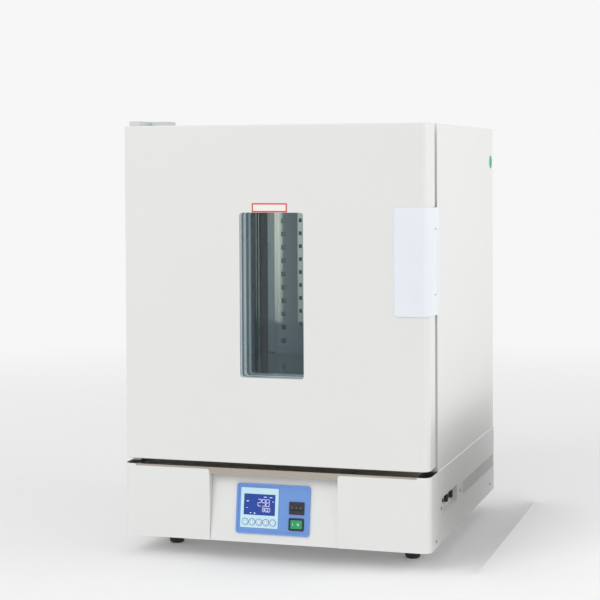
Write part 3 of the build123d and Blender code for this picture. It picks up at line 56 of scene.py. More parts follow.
class Signal:
    # one output of a node, which takes part in plain sums
    def __init__(self, bench, socket):
        self.bench, self.socket = bench, socket

    def also(self, name):
        return Signal(self.bench, self.socket.node.outputs[name])

    def sum(self, operation, first, second, clamp=False):
        settings = {"operation": operation, "use_clamp": clamp}
        return self.bench.node("ShaderNodeMath", settings, {0: first, 1: second})

    def __add__(self, other):
        return self.sum("ADD", self, other)

    def __radd__(self, other):
        return self.sum("ADD", other, self)

    def __sub__(self, other):
        return self.sum("SUBTRACT", self, other)

    def __rsub__(self, other):
        return self.sum("SUBTRACT", other, self)

    def __mul__(self, other):
        return self.sum("MULTIPLY", self, other)

    def __rmul__(self, other):
        return self.sum("MULTIPLY", other, self)

    def __truediv__(self, other):
        return self.sum("DIVIDE", self, other)

    def __rtruediv__(self, other):
        return self.sum("DIVIDE", other, self)

    def above(self, level):
        return self.sum("GREATER_THAN", self, level)

    def clamped(self):
        return self.sum("ADD", self, 0, clamp=True)


class Bench:
    # builds one node tree
    def __init__(self, tree):
        self.tree = tree

    def node(self, kind, settings=None, sockets=None, output=0):
        made = self.tree.nodes.new(kind)
        for name, value in (settings or {}).items():
            if name == "stops":
                ramp = made.color_ramp
                for step, (place, colour) in enumerate(value):
                    if step >= len(ramp.elements):
                        ramp.elements.new(place)
                    ramp.elements[step].position = place
                    ramp.elements[step].color = colour
            else:
                setattr(made, name, value)
        for name, value in (sockets or {}).items():
            if isinstance(value, Signal):
                self.tree.links.new(value.socket, made.inputs[name])
            else:
                made.inputs[name].default_value = value
        return Signal(self, made.outputs[output]) if len(made.outputs) else made

    def place(self, stretch=(1, 1, 1), shift=(0, 0, 0)):
        spot = self.node("ShaderNodeTexCoord", output="Object")
        return self.node("ShaderNodeMapping", {}, {"Vector": spot, "Scale": stretch, "Location": shift})

    def noise(self, vector, scale, detail=3.0, rough=0.5):
        sockets = {"Vector": vector, "Scale": scale, "Detail": detail, "Roughness": rough}
        return self.node("ShaderNodeTexNoise", {"noise_dimensions": "3D"}, sockets)

    def blend(self, share, first, second):
        sockets = {0: share, 6: first, 7: second}
        return self.node("ShaderNodeMix", {"data_type": "RGBA"}, sockets, output=2)

    def bump(self, height, depth, strength=1.0):
        return self.node("ShaderNodeBump", {}, {"Height": height, "Distance": depth, "Strength": strength})

    def finish(self, sockets):
        shader = self.node("ShaderNodeBsdfPrincipled", {}, sockets)
        self.node("ShaderNodeOutputMaterial", {}, {"Surface": shader})


def newMaterial(name):
    material = bpy.data.materials.new(name)
    material.use_nodes = True
    material.node_tree.nodes.clear()
    return material, Bench(material.node_tree)


# Finishes: each has its look in one dictionary

def scaled(colour, share):
    return tuple(c * share for c in colour[:3]) + (1,)


powderCoat = {"peelSize": 0.9 * mm, "peelDepth": 0.02 * mm, "cloudSize": 160 * mm, "cloudShade": 0.975,
              "roughness": 0.42, "roughnessSpread": 0.07}
doorCoat = {**powderCoat, "roughness": 0.3}


def paintedSteel(name, colour, look=powderCoat):
    # powder coat: fine orange peel, and a very slight cloudiness
    material, bench = newMaterial(name)
    spot = bench.place()
    cloud = bench.noise(spot, 1 / look["cloudSize"], 2.0)
    peel = bench.noise(spot, 1 / look["peelSize"], 1.5)
    bench.finish({
        "Base Color": bench.blend(cloud, scaled(colour, look["cloudShade"]), colour),
        "Roughness": look["roughness"] + look["roughnessSpread"] * (peel - 0.5),
        "Normal": bench.bump(peel, look["peelDepth"]),
    })
    return material


def brushedSteel(name, colour, stretch, look):
    # stretch is small along the brushing and 1 across it
    material, bench = newMaterial(name)
    streak = bench.noise(bench.place(stretch), 1 / look["grain"], 4.0, 0.7)
    smear = bench.noise(bench.place(), 1 / look["smearSize"], 3.0)
    shade = (streak * 0.7 + smear * 0.3).clamped()
    bench.finish({
        "Base Color": bench.blend(shade, scaled(colour, look["shade"]), colour),
        "Metallic": 1.0,
        "Roughness": look["roughness"] + look["spread"] * (shade - 0.5),
        "Normal": bench.bump(streak, look["depth"]),
    })
    return material


# Soft darker waves over the painted reflection bands
paintedReflectionWave = {"dark": 0.25, "shade": (0.02, 0.03, 0.035, 1), "roughness": 0.22, "roughnessSpread": 0.12}


def bandedSteel(name, look):
    # polished steel with pale and dark bands across one direction: painted reflections of a room that it would
    # mirror
    material, bench = newMaterial(name)
    spot = bench.node("ShaderNodeTexCoord", output="Object")
    parts = bench.node("ShaderNodeSeparateXYZ", {}, {"Vector": spot})
    place = parts.also(look["direction"])
    if look["mirrored"]:
        place = bench.node("ShaderNodeMath", {"operation": "ABSOLUTE"}, {0: place})
    share = ((place - look["from"]) / (look["to"] - look["from"])).clamped()
    bands = bench.node("ShaderNodeValToRGB", {"stops": look["bands"]}, {"Fac": share})
    wave = bench.noise(spot, 1 / look["waveSize"], 2.0)
    streaked = bench.blend(wave, bench.blend(paintedReflectionWave["dark"], bands, paintedReflectionWave["shade"]), bands)
    # the painted reflections stop at the foot, below which a flat painted shade stands, and they darken on the way
    # down to it
    height = parts.also("Z")
    above = ((height - look["foot"]) / look["footBlur"]).clamped()
    lower = ((look["top"] - height) / (look["top"] - look["foot"])).clamped()
    faded = bench.blend(lower * look["loss"], streaked, look["footShade"])
    colour = bench.blend(above, look["footShade"], faded)
    bench.finish({
        "Base Color": colour,
        "Metallic": look["metallic"],
        "Roughness": paintedReflectionWave["roughness"] + paintedReflectionWave["roughnessSpread"] * wave,
        # the same colour also gives off light of its own: a painted glow, for the steel is no lamp
        "Emission Color": colour,
        "Emission Strength": look["lift"],
    })
    return material


# The window's reveal: its pale and dark bands along Y are painted reflections, and lift is a painted glow of the
# same colours
revealLook = {
    "direction": "Y", "mirrored": False, "from": -328 * mm, "to": -245 * mm, "waveSize": 120 * mm, "metallic": 0.3,
    "lift": 0.35, "foot": -1, "footBlur": 1, "top": 0, "loss": 0.0, "footShade": tone(60, 74, 82),
    "bands": [(0.0, tone(150, 178, 198)), (0.04, tone(150, 178, 198)), (0.05, tone(255, 250, 245)),
              (0.13, tone(255, 250, 245)), (0.15, tone(104, 128, 146)), (0.25, tone(120, 140, 156)),
              (0.3, tone(196, 212, 208)), (0.42, tone(206, 218, 214)), (0.46, tone(92, 112, 126)),
              (0.6, tone(98, 118, 130)), (0.66, tone(170, 190, 194)), (0.74, tone(140, 160, 166)),
              (0.8, tone(66, 84, 94)), (1.0, tone(60, 74, 82))],
}
# The duct's face: its pale and dark bands, mirrored about the middle, are painted reflections; below the foot stands
# a flat painted shade, and lift is a painted glow
ductLook = {
    "direction": "X", "mirrored": True, "from": 80 * mm, "to": 160 * mm, "waveSize": 200 * mm, "metallic": 0.3,
    "lift": 0.3, "foot": 388 * mm, "footBlur": 8 * mm, "top": 600 * mm, "loss": 0.6, "footShade": tone(70, 88, 96),
    "bands": [(0.0, tone(96, 110, 114)), (0.04, tone(190, 210, 200)), (0.19, tone(190, 210, 200)),
              (0.22, tone(84, 98, 102)), (0.6, tone(90, 106, 110)),
              (0.64, tone(160, 178, 176)), (0.73, tone(206, 220, 208)), (0.9, tone(246, 252, 232)),
              (0.94, tone(150, 165, 160)), (1.0, tone(120, 136, 140))],
}


def plainMetal(name, colour, roughness, tint=0.8, size=12 * mm, depth=0.01 * mm):
    # cast, plated or oxidised metal, with soft patches
    material, bench = newMaterial(name)
    patch = bench.noise(bench.place(), 1 / size, 5.0, 0.6)
    bench.finish({
        "Base Color": bench.blend(patch, scaled(colour, tint), colour),
        "Metallic": 1.0,
        "Roughness": roughness + 0.2 * (patch - 0.5),
        "Normal": bench.bump(patch, depth),
    })
    return material


def mouldedPlastic(name, colour, roughness, grain=0.5 * mm, depth=0.01 * mm, coat=0.0):
    # a moulding with a fine spark-eroded grain and faint flow shades
    material, bench = newMaterial(name)
    spot = bench.place()
    spark = bench.noise(spot, 1 / grain, 2.0)
    flow = bench.noise(spot, 1 / (40 * mm), 2.0)
    bench.finish({
        "Base Color": bench.blend(flow, scaled(colour, 0.94), colour),
        "Roughness": roughness + 0.1 * (spark - 0.5),
        "Coat Weight": coat,
        "Coat Roughness": 0.12,
        "Normal": bench.bump(spark, depth),
    })
    return material


def softRubber(name, colour, roughness):
    material, bench = newMaterial(name)
    spot = bench.place()
    skin = bench.noise(spot, 1 / (0.8 * mm), 3.0)
    dust = bench.noise(spot, 1 / (18 * mm), 4.0, 0.6)
    bench.finish({
        "Base Color": bench.blend((dust * 1.4 - 0.3).clamped(), colour, scaled(colour, 1.7)),
        "Roughness": roughness + 0.15 * (dust - 0.5),
        "Normal": bench.bump(skin, 0.02 * mm),
    })
    return material


def mineralWool(name, colour):
    # matted fibres in layers
    material, bench = newMaterial(name)
    fibre = bench.noise(bench.place((1, 1, 3)), 1 / (4 * mm), 8.0, 0.75)
    bench.finish({
        "Base Color": bench.blend(fibre, scaled(colour, 0.55), colour),
        "Roughness": 0.95,
        "Normal": bench.bump(fibre, 1.2 * mm),
    })
    return material


def clearGlass(name, tint, share, haze):
    # reflects a share by angle and lets the rest through, so that light reaches the chamber
    material, bench = newMaterial(name)
    mirror = bench.node("ShaderNodeFresnel", {}, {"IOR": 1.5})
    wipe = bench.noise(bench.place(), 1 / (60 * mm), 3.0)
    bench.finish({
        "Base Color": tint,
        "Metallic": 1.0,
        "Roughness": 0.015 + 0.02 * wipe,
        "Alpha": (mirror * share + haze).clamped(),
    })
    return material


def circuitBoard(name, colour):
    material, bench = newMaterial(name)
    spot = bench.place()
    track = bench.node("ShaderNodeTexVoronoi", {"feature": "DISTANCE_TO_EDGE"}, {"Vector": spot, "Scale": 90.0})
    line = track.above(0.06)
    bench.finish({
        "Base Color": bench.blend(line, scaled(colour, 2.2), colour),
        "Roughness": 0.45,
        "Normal": bench.bump(line, 0.05 * mm),
    })
    return material


def printedInk(name, colour, glow=0.0):
    # glow makes the ink give off light: the display's backlight, and a painted glow on signs and wheel digits
    material, bench = newMaterial(name)
    speck = bench.noise(bench.place(), 1 / (0.6 * mm), 2.0)
    sockets = {
        "Base Color": bench.blend(speck, scaled(colour, 0.93), colour),
        "Roughness": 0.5 + 0.1 * speck,
    }
    if glow:
        sockets["Emission Color"] = bench.blend(speck, scaled(colour, 0.93), colour)
        sockets["Emission Strength"] = glow
    bench.finish(sockets)
    return material


def displayGlass(name, colour):
    # back-lit blue, a little brighter in some soft patches than in others
    material, bench = newMaterial(name)
    spot = bench.place()
    cell = bench.noise(spot, 1 / (9 * mm), 2.0)
    bench.finish({
        "Base Color": bench.blend(cell, scaled(colour, 0.8), colour),
        "Roughness": 0.12,
        "Emission Color": bench.blend(cell, scaled(colour, 0.75), colour),
        "Emission Strength": 0.3,
        "Coat Weight": 0.15,
    })
    return material


brushLook = {"grain": 0.9 * mm, "smearSize": 45 * mm, "shade": 0.82, "roughness": 0.3, "spread": 0.22,
             "depth": 0.012 * mm}
mirrorLook = {"grain": 1.6 * mm, "smearSize": 60 * mm, "shade": 0.86, "roughness": 0.11, "spread": 0.1,
              "depth": 0.006 * mm}

white = tone(231, 232, 230)
finishes = {
    "cabinetPaint": paintedSteel("cabinetPaint", white),
    "doorPaint": paintedSteel("doorPaint", white, doorCoat),
    "chamberSteel": brushedSteel("chamberSteel", tone(150, 160, 163), (1, 0.02, 1), mirrorLook),
    "ductSteelPaintedReflections": bandedSteel("ductSteelPaintedReflections", ductLook),
    "ladderSteel": brushedSteel("ladderSteel", tone(205, 208, 200), (1, 1, 0.03), brushLook),
    "ledgeSteel": brushedSteel("ledgeSteel", tone(188, 180, 170), (0.03, 1, 1), brushLook),
    "pipeSteel": brushedSteel("pipeSteel", tone(196, 194, 188), (1, 0.05, 1), brushLook),
    "revealSteelPaintedReflections": bandedSteel("revealSteelPaintedReflections", revealLook),
    "zincPlate": plainMetal("zincPlate", tone(196, 196, 190), 0.35),
    "shelfChrome": plainMetal("shelfChrome", tone(214, 216, 218), 0.1, 0.92),
    "heaterSheath": plainMetal("heaterSheath", tone(96, 84, 72), 0.55, 0.5, 20 * mm),
    "impellerMetal": plainMetal("impellerMetal", tone(190, 192, 194), 0.38),
    "motorMetal": plainMetal("motorMetal", tone(110, 112, 116), 0.5, 0.8, 3 * mm, 0.05 * mm),
    "bushBrass": plainMetal("bushBrass", tone(200, 168, 92), 0.3),
    "handlePlastic": mouldedPlastic("handlePlastic", tone(234, 240, 246), 0.33, depth=0.004 * mm, coat=0.25),
    "hingePlastic": mouldedPlastic("hingePlastic", tone(214, 218, 222), 0.5),
    "bezelPlastic": mouldedPlastic("bezelPlastic", tone(112, 154, 222), 0.42),
    "controllerPlastic": mouldedPlastic("controllerPlastic", tone(202, 238, 248), 0.4),
    "keyPlastic": mouldedPlastic("keyPlastic", tone(188, 214, 238), 0.35),
    "blackPlastic": mouldedPlastic("blackPlastic", tone(38, 36, 40), 0.45),
    "rockerPlastic": mouldedPlastic("rockerPlastic", tone(12, 158, 100), 0.28, coat=0.4),
    "displayGlass": displayGlass("displayGlass", tone(0, 56, 146)),
    "windowGlass": clearGlass("windowGlass", (0.8, 0.93, 0.95, 1), 0.3, 0.004),
    "silicone": softRubber("silicone", tone(58, 60, 62), 0.55),
    "footRubber": softRubber("footRubber", tone(36, 35, 36), 0.6),
    "wool": mineralWool("wool", tone(205, 190, 140)),
    "board": circuitBoard("board", tone(28, 92, 58)),
    # white ink of the key and rocker signs, which gives off a little light: a painted glow
    "whiteInkPaintedGlow": printedInk("whiteInkPaintedGlow", tone(246, 246, 248), 0.25),
    # ink that gives off light: on the display's digits it is their backlight, on the setting wheels' digits a
    # painted glow
    "backlitInkAndPaintedGlow": printedInk("backlitInkAndPaintedGlow", tone(225, 226, 250), 0.5),
    "deepBlue": printedInk("deepBlue", tone(96, 132, 190)),
    # dark marks for the duct's face: painted reflections of the ladder uprights' holes
    "paintedHoleReflection": printedInk("paintedHoleReflection", tone(40, 52, 56)),
    "redInk": printedInk("redInk", tone(226, 70, 52)),
    "stripPaper": printedInk("stripPaper", tone(244, 244, 240)),
    "dotGreen": printedInk("dotGreen", tone(60, 168, 120)),
}

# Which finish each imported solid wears
wears = {
    "cabinetPaint": ["outer_shell", "front_frame", "rear_panel", "motor_cover", "base_tray", "base_front_left",
                     "base_front_right", "base_side_left", "base_side_right", "base_rear", "control_panel",
                     "side_pocket"],
    "doorPaint": ["door_skin", "door_pan"],
    "chamberSteel": ["inner_chamber", "floor_plate"],
    "ductSteelPaintedReflections": ["duct_cover"],
    "ladderSteel": ["shelf_uprights", "shelf_clips"],
    "ledgeSteel": ["steel_ledge"],
    "pipeSteel": ["exhaust_pipe", "exhaust_damper", "sensor_probes"],
    "revealSteelPaintedReflections": ["window_frame"],
    "zincPlate": ["hinge_arms", "latch_striker", "panel_screws"],
    "shelfChrome": ["upper_shelf", "lower_shelf"],
    "heaterSheath": ["heater_element"],
    "impellerMetal": ["fan_impeller"],
    "motorMetal": ["fan_motor"],
    "bushBrass": ["hinge_bushes"],
    "handlePlastic": ["handle_cover", "handle_lever"],
    "hingePlastic": ["hinge_cover"],
    "bezelPlastic": ["panel_bezel"],
    "controllerPlastic": ["controller_case"],
    "keyPlastic": ["key_1", "key_2", "key_3", "key_4", "key_5"],
    "blackPlastic": ["thumbwheel_case", "switch_case", "thumbwheel_1", "thumbwheel_2", "thumbwheel_3",
                     "fuse_cap_1", "fuse_cap_2", "fuse_holders", "power_inlet"],
    "rockerPlastic": ["rocker"],
    "displayGlass": ["display_window"],
    "windowGlass": ["window_glass"],
    "silicone": ["door_gasket"],
    "footRubber": ["rubber_feet"],
    "wool": ["insulation", "door_insulation"],
    "board": ["base_electronics"],
}
for finishName, nodeNames in wears.items():
    for nodeName in nodeNames:
        cadNodes[nodeName].data.materials.clear()
        cadNodes[nodeName].data.materials.append(finishes[finishName])
bare = sorted(set(cadNodes) - {n for names in wears.values() for n in names})
print("finishes:", len(finishes), "solids without one:", bare)


# Making pieces

def addPiece(name, mesh, finishName, body, replaced=()):
    piece = bpy.data.objects.new(name, mesh)
    bpy.context.scene.collection.objects.link(piece)
    mesh.name = name
    if finishName:
        mesh.materials.clear()
        mesh.materials.append(finishes[finishName])
    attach(piece, body)
    if replaced:
        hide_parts(*replaced)
    return piece


def meshFrom(build):
    # build draws into an empty bmesh, and the faces end up pointing outwards
    shape = bmesh.new()
    build(shape)
    bmesh.ops.remove_doubles(shape, verts=shape.verts, dist=1e-6)
    bmesh.ops.recalc_face_normals(shape, faces=shape.faces)
    mesh = bpy.data.meshes.new("shape")
    shape.to_mesh(mesh)
    shape.free()
    return mesh


def prism(shape, outline, low, high, at=Matrix.Identity(4)):
    # a plate with a flat outline, from one level to another
    bottom = [shape.verts.new(at @ Vector((x, y, low))) for x, y in outline]
    top = [shape.verts.new(at @ Vector((x, y, high))) for x, y in outline]
    count = len(outline)
    shape.faces.new(bottom[::-1])
    shape.faces.new(top)
    for step in range(count):
        after = (step + 1) % count
        shape.faces.new((bottom[step], bottom[after], top[after], top[step]))


def ringOutline(radius, count=24, middle=(0, 0)):
    turns = [2 * math.pi * step / count for step in range(count)]
    return [(middle[0] + radius * math.cos(a), middle[1] + radius * math.sin(a)) for a in turns]


def ring(shape, outer, inner, low, high, at, count=24):
    # a flat washer
    corners = []
    for radius, level in ((outer, low), (outer, high), (inner, high), (inner, low)):
        corners.append([shape.verts.new(at @ Vector((x, y, level))) for x, y in ringOutline(radius, count)])
    for level in range(4):
        first, second = corners[level], corners[(level + 1) % 4]
        for step in range(count):
            after = (step + 1) % count
            shape.faces.new((first[step], first[after], second[after], second[step]))


def roundedOutline(left, right, low, high, radius, count=6):
    points = []
    for cornerX, cornerY, start in ((right - radius, high - radius, 0), (left + radius, high - radius, 90),
                                    (left + radius, low + radius, 180), (right - radius, low + radius, 270)):
        for step in range(count + 1):
            turn = math.radians(start + 90 * step / count)
            points.append((cornerX + radius * math.cos(turn), cornerY + radius * math.sin(turn)))
    return points


def cornersOf(left, right, low, high):
    return [(left, low), (right, low), (right, high), (left, high)]


def facingFront(y):
    # turns a flat outline up, to stand on a face that looks along -Y
    return Matrix.Translation((0, y, 0)) @ Matrix(((1, 0, 0, 0), (0, 0, -1, 0), (0, 1, 0, 0), (0, 0, 0, 1)))


# Geometry Nodes

def newTree(name, sizes):
    # an empty geometry tree with one named number for each size
    tree = bpy.data.node_groups.new(name, "GeometryNodeTree")
    tree.interface.new_socket("Geometry", in_out="INPUT", socket_type="NodeSocketGeometry")
    for size, value in sizes.items():
        kind = "NodeSocketInt" if isinstance(value, int) else "NodeSocketFloat"
        tree.interface.new_socket(size, in_out="INPUT", socket_type=kind)
    tree.interface.new_socket("Geometry", in_out="OUTPUT", socket_type="NodeSocketGeometry")
    bench = Bench(tree)
    return tree, bench, bench.node("NodeGroupInput")


def closeTree(bench, geometry, finishName, smooth=True):
    solid = bench.node("GeometryNodeRealizeInstances", {}, {"Geometry": geometry})
    if smooth:
        solid = bench.node("GeometryNodeSetShadeSmooth", {}, {"Geometry": solid})
    dressed = bench.node("GeometryNodeSetMaterial", {}, {"Geometry": solid, "Material": finishes[finishName]})
    bench.node("NodeGroupOutput", {}, {"Geometry": dressed})


def grown(tree, points, sizes):
    # runs a tree on a mesh of points, and returns the plain mesh that it makes
    seed = bpy.data.meshes.new("seed")
    seed.from_pydata([place for place, direction in points], [], [])
    facing = seed.attributes.new("facing", "FLOAT_VECTOR", "POINT")
    for step, (place, direction) in enumerate(points):
        facing.data[step].vector = direction
    carrier = bpy.data.objects.new("carrier", seed)
    bpy.context.scene.collection.objects.link(carrier)
    modifier = carrier.modifiers.new("grow", "NODES")
    modifier.node_group = tree
    for socket in tree.interface.items_tree:
        if socket.in_out == "INPUT" and socket.name in sizes:
            modifier[socket.identifier] = sizes[socket.name]
    carrier.update_tag()
    graph = bpy.context.evaluated_depsgraph_get()
    graph.update()
    mesh = bpy.data.meshes.new_from_object(carrier.evaluated_get(graph))
    carrier.modifiers.remove(modifier)
    bpy.data.objects.remove(carrier)
    return mesh


# Screws: domed heads with a cross recess, one instance for each place
screwLook = {"Head Diameter": 7 * mm, "Head Height": 1.8 * mm, "Recess Length": 4.2 * mm, "Recess Width": 0.9 * mm,
             "Shank Diameter": 3.4 * mm, "Shank Length": 4 * mm}


def screwTree(sizes):
    tree, bench, entry = newTree("domedScrews", sizes)
    get = entry.also
    dome = bench.node("GeometryNodeMeshUVSphere", {}, {"Segments": 24, "Rings": 12, "Radius": 1.0})
    squash = bench.node("ShaderNodeCombineXYZ", {}, {
        "X": get("Head Diameter") / 2, "Y": get("Head Diameter") / 2, "Z": get("Head Height"),
    })
    head = bench.node("GeometryNodeTransform", {}, {"Geometry": dome, "Scale": squash})
    floor = bench.node("GeometryNodeMeshCube", {}, {"Size": (0.02, 0.02, 0.02)})
    floorSunk = bench.node("GeometryNodeTransform", {}, {"Geometry": floor, "Translation": (0, 0, -0.01)})
    bars = []
    for wide, deep in (("Recess Length", "Recess Width"), ("Recess Width", "Recess Length")):
        size = bench.node("ShaderNodeCombineXYZ", {}, {"X": get(wide), "Y": get(deep), "Z": get("Head Height")})
        bar = bench.node("GeometryNodeMeshCube", {}, {"Size": size})
        lift = bench.node("ShaderNodeCombineXYZ", {}, {"X": 0.0, "Y": 0.0, "Z": get("Head Height")})
        bars.append(bench.node("GeometryNodeTransform", {}, {"Geometry": bar, "Translation": lift}))
    cut = head
    for tool in [floorSunk] + bars:
        cut = bench.node("GeometryNodeMeshBoolean", {"operation": "DIFFERENCE", "solver": "EXACT"},
                         {"Mesh 1": cut, "Mesh 2": tool})
    shank = bench.node("GeometryNodeMeshCylinder", {}, {
        "Vertices": 12, "Radius": get("Shank Diameter") / 2, "Depth": get("Shank Length"),
    })
    sink = bench.node("ShaderNodeCombineXYZ", {}, {"X": 0.0, "Y": 0.0, "Z": get("Shank Length") / -2})
    shank = bench.node("GeometryNodeTransform", {}, {"Geometry": shank, "Translation": sink})
    screw = bench.node("GeometryNodeJoinGeometry")
    for part in (cut, shank):
        bench.tree.links.new(part.socket, screw.socket.node.inputs[0])
    facing = bench.node("GeometryNodeInputNamedAttribute", {"data_type": "FLOAT_VECTOR"}, {"Name": "facing"})
    turn = bench.node("FunctionNodeAlignRotationToVector", {"axis": "Z"}, {"Vector": facing})
    placed = bench.node("GeometryNodeInstanceOnPoints", {}, {
        "Points": get("Geometry"), "Instance": screw, "Rotation": turn,
    })
    closeTree(bench, placed, "zincPlate", smooth=False)
    return tree


# Where the screws sit: the rear panel's edges, the motor cover's corners, and the base's sides
halfBody, backFace, baseHalf, frontFace, baseBottom = 290 * mm, 281 * mm, 291.5 * mm, -328 * mm, 36
screwInset, rearHeights = 14 * mm, (184 * mm, 483 * mm, 782 * mm, 103 * mm)
coverBrim, fanHeight, coverFace = 78 * mm, 526 * mm, 282.2 * mm
sideScrews = ((45.6, 12.8), (88, 64), (258, 64.5), (564, 20))
screwPlaces = [((x, backFace, z), (0, 1, 0)) for x in (screwInset - halfBody, halfBody - screwInset)
               for z in rearHeights]
screwPlaces += [((x * coverBrim, coverFace, fanHeight + z * coverBrim), (0, 1, 0)) for x in (-1, 1) for z in (-1, 1)]
for side in (-1, 1):
    for back, up in sideScrews:
        screwPlaces.append(((side * baseHalf, frontFace + back * mm, (baseBottom + up) * mm), (side, 0, 0)))
screwMesh = grown(screwTree(screwLook), screwPlaces, screwLook)
addPiece("caseScrews", screwMesh, None, "cabinet", ["panel_screws"])
print("screws:", len(screwPlaces), "triangles", sum(len(f.vertices) - 2 for f in screwMesh.polygons))

# The sloping panel: places on it are across, up the slope and out of it
panelRun, panelRise, panelFoot = 17.5, 122, -326.5 * mm
slope = math.atan2(panelRun, panelRise)
panelMatrix = Matrix.Translation((0, panelFoot, baseBottom * mm)) @ Matrix((
    (1, 0, 0, 0),
    (0, math.sin(slope), -math.cos(slope), 0),
    (0, math.cos(slope), math.sin(slope), 0),
    (0, 0, 0, 1),
))

# Digits of the display, drawn with seven bars each: a row's digits, left edge, digit width, foot and height.
# Signs round them: left, right, foot and top in mm
displayLook = {
    "top": (0.0025 + 0.0016 - 0.002 + 0.0012), "thick": 0.05 * mm, "bar": 0.75 * mm, "gap": 1.6 * mm,
    "rows": [("298", -31.2 * mm, 6.2 * mm, 66.6 * mm, 12 * mm), ("800", -22.3 * mm, 3.7 * mm, 56.6 * mm, 7 * mm)],
    "dotAfter": 1, "dotRadius": 0.6 * mm, "barInset": 0.35,
    "signs": [(-53, -48.5, 74, 75.2), (-53, -50.5, 62.5, 63.4), (-20, -15, 82.3, 83.4), (-9, -4, 82, 83),
              (-3.6, -0.6, 74.5, 75.4), (-46, -43.5, 53, 54.2), (-38, -36, 52, 54.4)],
}
barsOf = {"0": "abcdef", "1": "bc", "2": "abged", "3": "abgcd", "4": "fgbc", "5": "afgcd", "6": "afgedc", "7": "abc",
          "8": "abcdefg", "9": "abcdfg"}


def digitBars(shape, digit, left, low, width, height, bar, bottom, top):
    half = height / 2
    spans = {
        "a": (0, height, width, height), "d": (0, 0, width, 0), "g": (0, half, width, half),
        "f": (0, half, 0, height), "b": (width, half, width, height), "e": (0, 0, 0, half),
        "c": (width, 0, width, half),
    }
    inset = displayLook["barInset"]
    for name in barsOf[digit]:
        x1, y1, x2, y2 = spans[name]
        along = Vector((x2 - x1, y2 - y1)).normalized()
        across = Vector((-along.y, along.x)) * bar / 2
        start = Vector((left + x1, low + y1)) + along * bar * inset
        end = Vector((left + x2, low + y2)) - along * bar * inset
        tip = along * bar / 2
        outline = [start, start + tip + across, end - tip + across, end, end - tip - across, start + tip - across]
        prism(shape, [tuple(p) for p in reversed(outline)], bottom, top, panelMatrix)


def displayMarks(shape):
    look = displayLook
    low = look["top"]
    high = low + look["thick"]
    for digits, left, width, bottom, height in look["rows"]:
        for step, digit in enumerate(digits):
            place = left + step * (width + look["gap"])
            digitBars(shape, digit, place, bottom, width, height, look["bar"], low, high)
        dot = left + (look["dotAfter"] + 1) * (width + look["gap"]) - look["gap"] / 2
        prism(shape, ringOutline(look["dotRadius"], 8, (dot, bottom)), low, high, panelMatrix)
    for sign in look["signs"]:
        prism(shape, cornersOf(*(edge * mm for edge in sign)), low, high, panelMatrix)


addPiece("displayDigits", meshFrom(displayMarks), "backlitInkAndPaintedGlow", "cabinet")

# Signs on the five keys: a ring on each, and inside it a bar, an arrow head or a smaller ring
keyLook = {"across": [-54.2, -41, -27.8, -14.6, -1.4], "up": 37.5, "top": 5 * mm, "sunk": 0.01 * mm,
           "thick": 0.06 * mm, "outer": 4.6 * mm, "inner": 4.25 * mm, "barWidth": 2.6 * mm, "barHeight": 0.45 * mm,
           "arrow": 2 * mm, "arrowTurns": {1: 90, 2: 180, 3: 0}, "smallOuter": 2.2 * mm, "smallInner": 1.6 * mm}


def keySign(number):
    look = keyLook
    low, high = look["top"] - look["sunk"], look["top"] + look["thick"]
    at = panelMatrix @ Matrix.Translation((look["across"][number] * mm, look["up"] * mm, 0))

    def build(shape):
        ring(shape, look["outer"], look["inner"], low, high, at, 32)
        if number == 0:
            wide, tall = look["barWidth"], look["barHeight"]
            prism(shape, cornersOf(-wide, wide, -tall, tall), low, high, at)
        elif number in look["arrowTurns"]:
            turns = [math.radians(look["arrowTurns"][number] + a) for a in (0, 120, 240)]
            corners = [(look["arrow"] * math.sin(a), look["arrow"] * math.cos(a)) for a in turns]
            prism(shape, corners[::-1], low, high, at)
        else:
            ring(shape, look["smallOuter"], look["smallInner"], low, high, at, 24)
    return build


# the signs' white ink has a painted glow
for number in range(5):
    signMesh = meshFrom(keySign(number))
    addPiece(f"keySign_{number + 1}", signMesh, "whiteInkPaintedGlow", f"key_button_{number + 1}")

# A darker ring on the controller round each key
surroundLook = {"outer": 6.5 * mm, "inner": 5.75 * mm, "level": 4.1 * mm, "thick": 0.12 * mm}


def keySurrounds(shape):
    look = surroundLook
    for place in keyLook["across"]:
        at = panelMatrix @ Matrix.Translation((place * mm, keyLook["up"] * mm, 0))
        ring(shape, look["outer"], look["inner"], look["level"], look["level"] + look["thick"], at, 32)


addPiece("keySurrounds", meshFrom(keySurrounds), "deepBlue", "cabinet")

# Signs on the rocker: a bar on its left half and a ring on its right
rockerLook = {"across": 43 * mm, "up": 37.2 * mm, "pivotDepth": 3.5 * mm, "faceTop": 4.5 * mm, "tilt": 8,
              "signOffset": {-1: 6.6 * mm, 1: 3.2 * mm}, "thick": 0.06 * mm, "barWidth": 0.35 * mm,
              "barHeight": 1.6 * mm, "outer": 1.9 * mm, "inner": 1.3 * mm}


def rockerSigns(shape):
    look = rockerLook
    pivot = Matrix.Translation((look["across"], look["up"], look["faceTop"] - look["pivotDepth"]))
    rest = panelMatrix @ pivot @ Matrix.Rotation(math.radians(look["tilt"]), 4, "Y")
    for side in (-1, 1):
        lean = Matrix.Rotation(-side * math.radians(look["tilt"]), 4, "Y")
        offset = Matrix.Translation((side * look["signOffset"][side], 0, 0))
        face = rest @ Matrix.Translation((0, 0, look["pivotDepth"])) @ lean @ offset
        if side < 0:
            wide, tall = look["barWidth"], look["barHeight"]
            prism(shape, cornersOf(-wide, wide, -tall, tall), 0, look["thick"], face)
        else:
            ring(shape, look["outer"], look["inner"], 0, look["thick"], face)


# the signs' white ink has a painted glow
addPiece("rockerSigns", meshFrom(rockerSigns), "whiteInkPaintedGlow", "rocker_button")

# Digits round each setting wheel
wheelLook = {"across": [35, 43, 51], "up": 66, "depth": -3.65, "radius": 7.75, "lift": 0.03, "size": 7.4 * mm,
             "bold": 0.25 * mm, "first": -4, "step": 36}


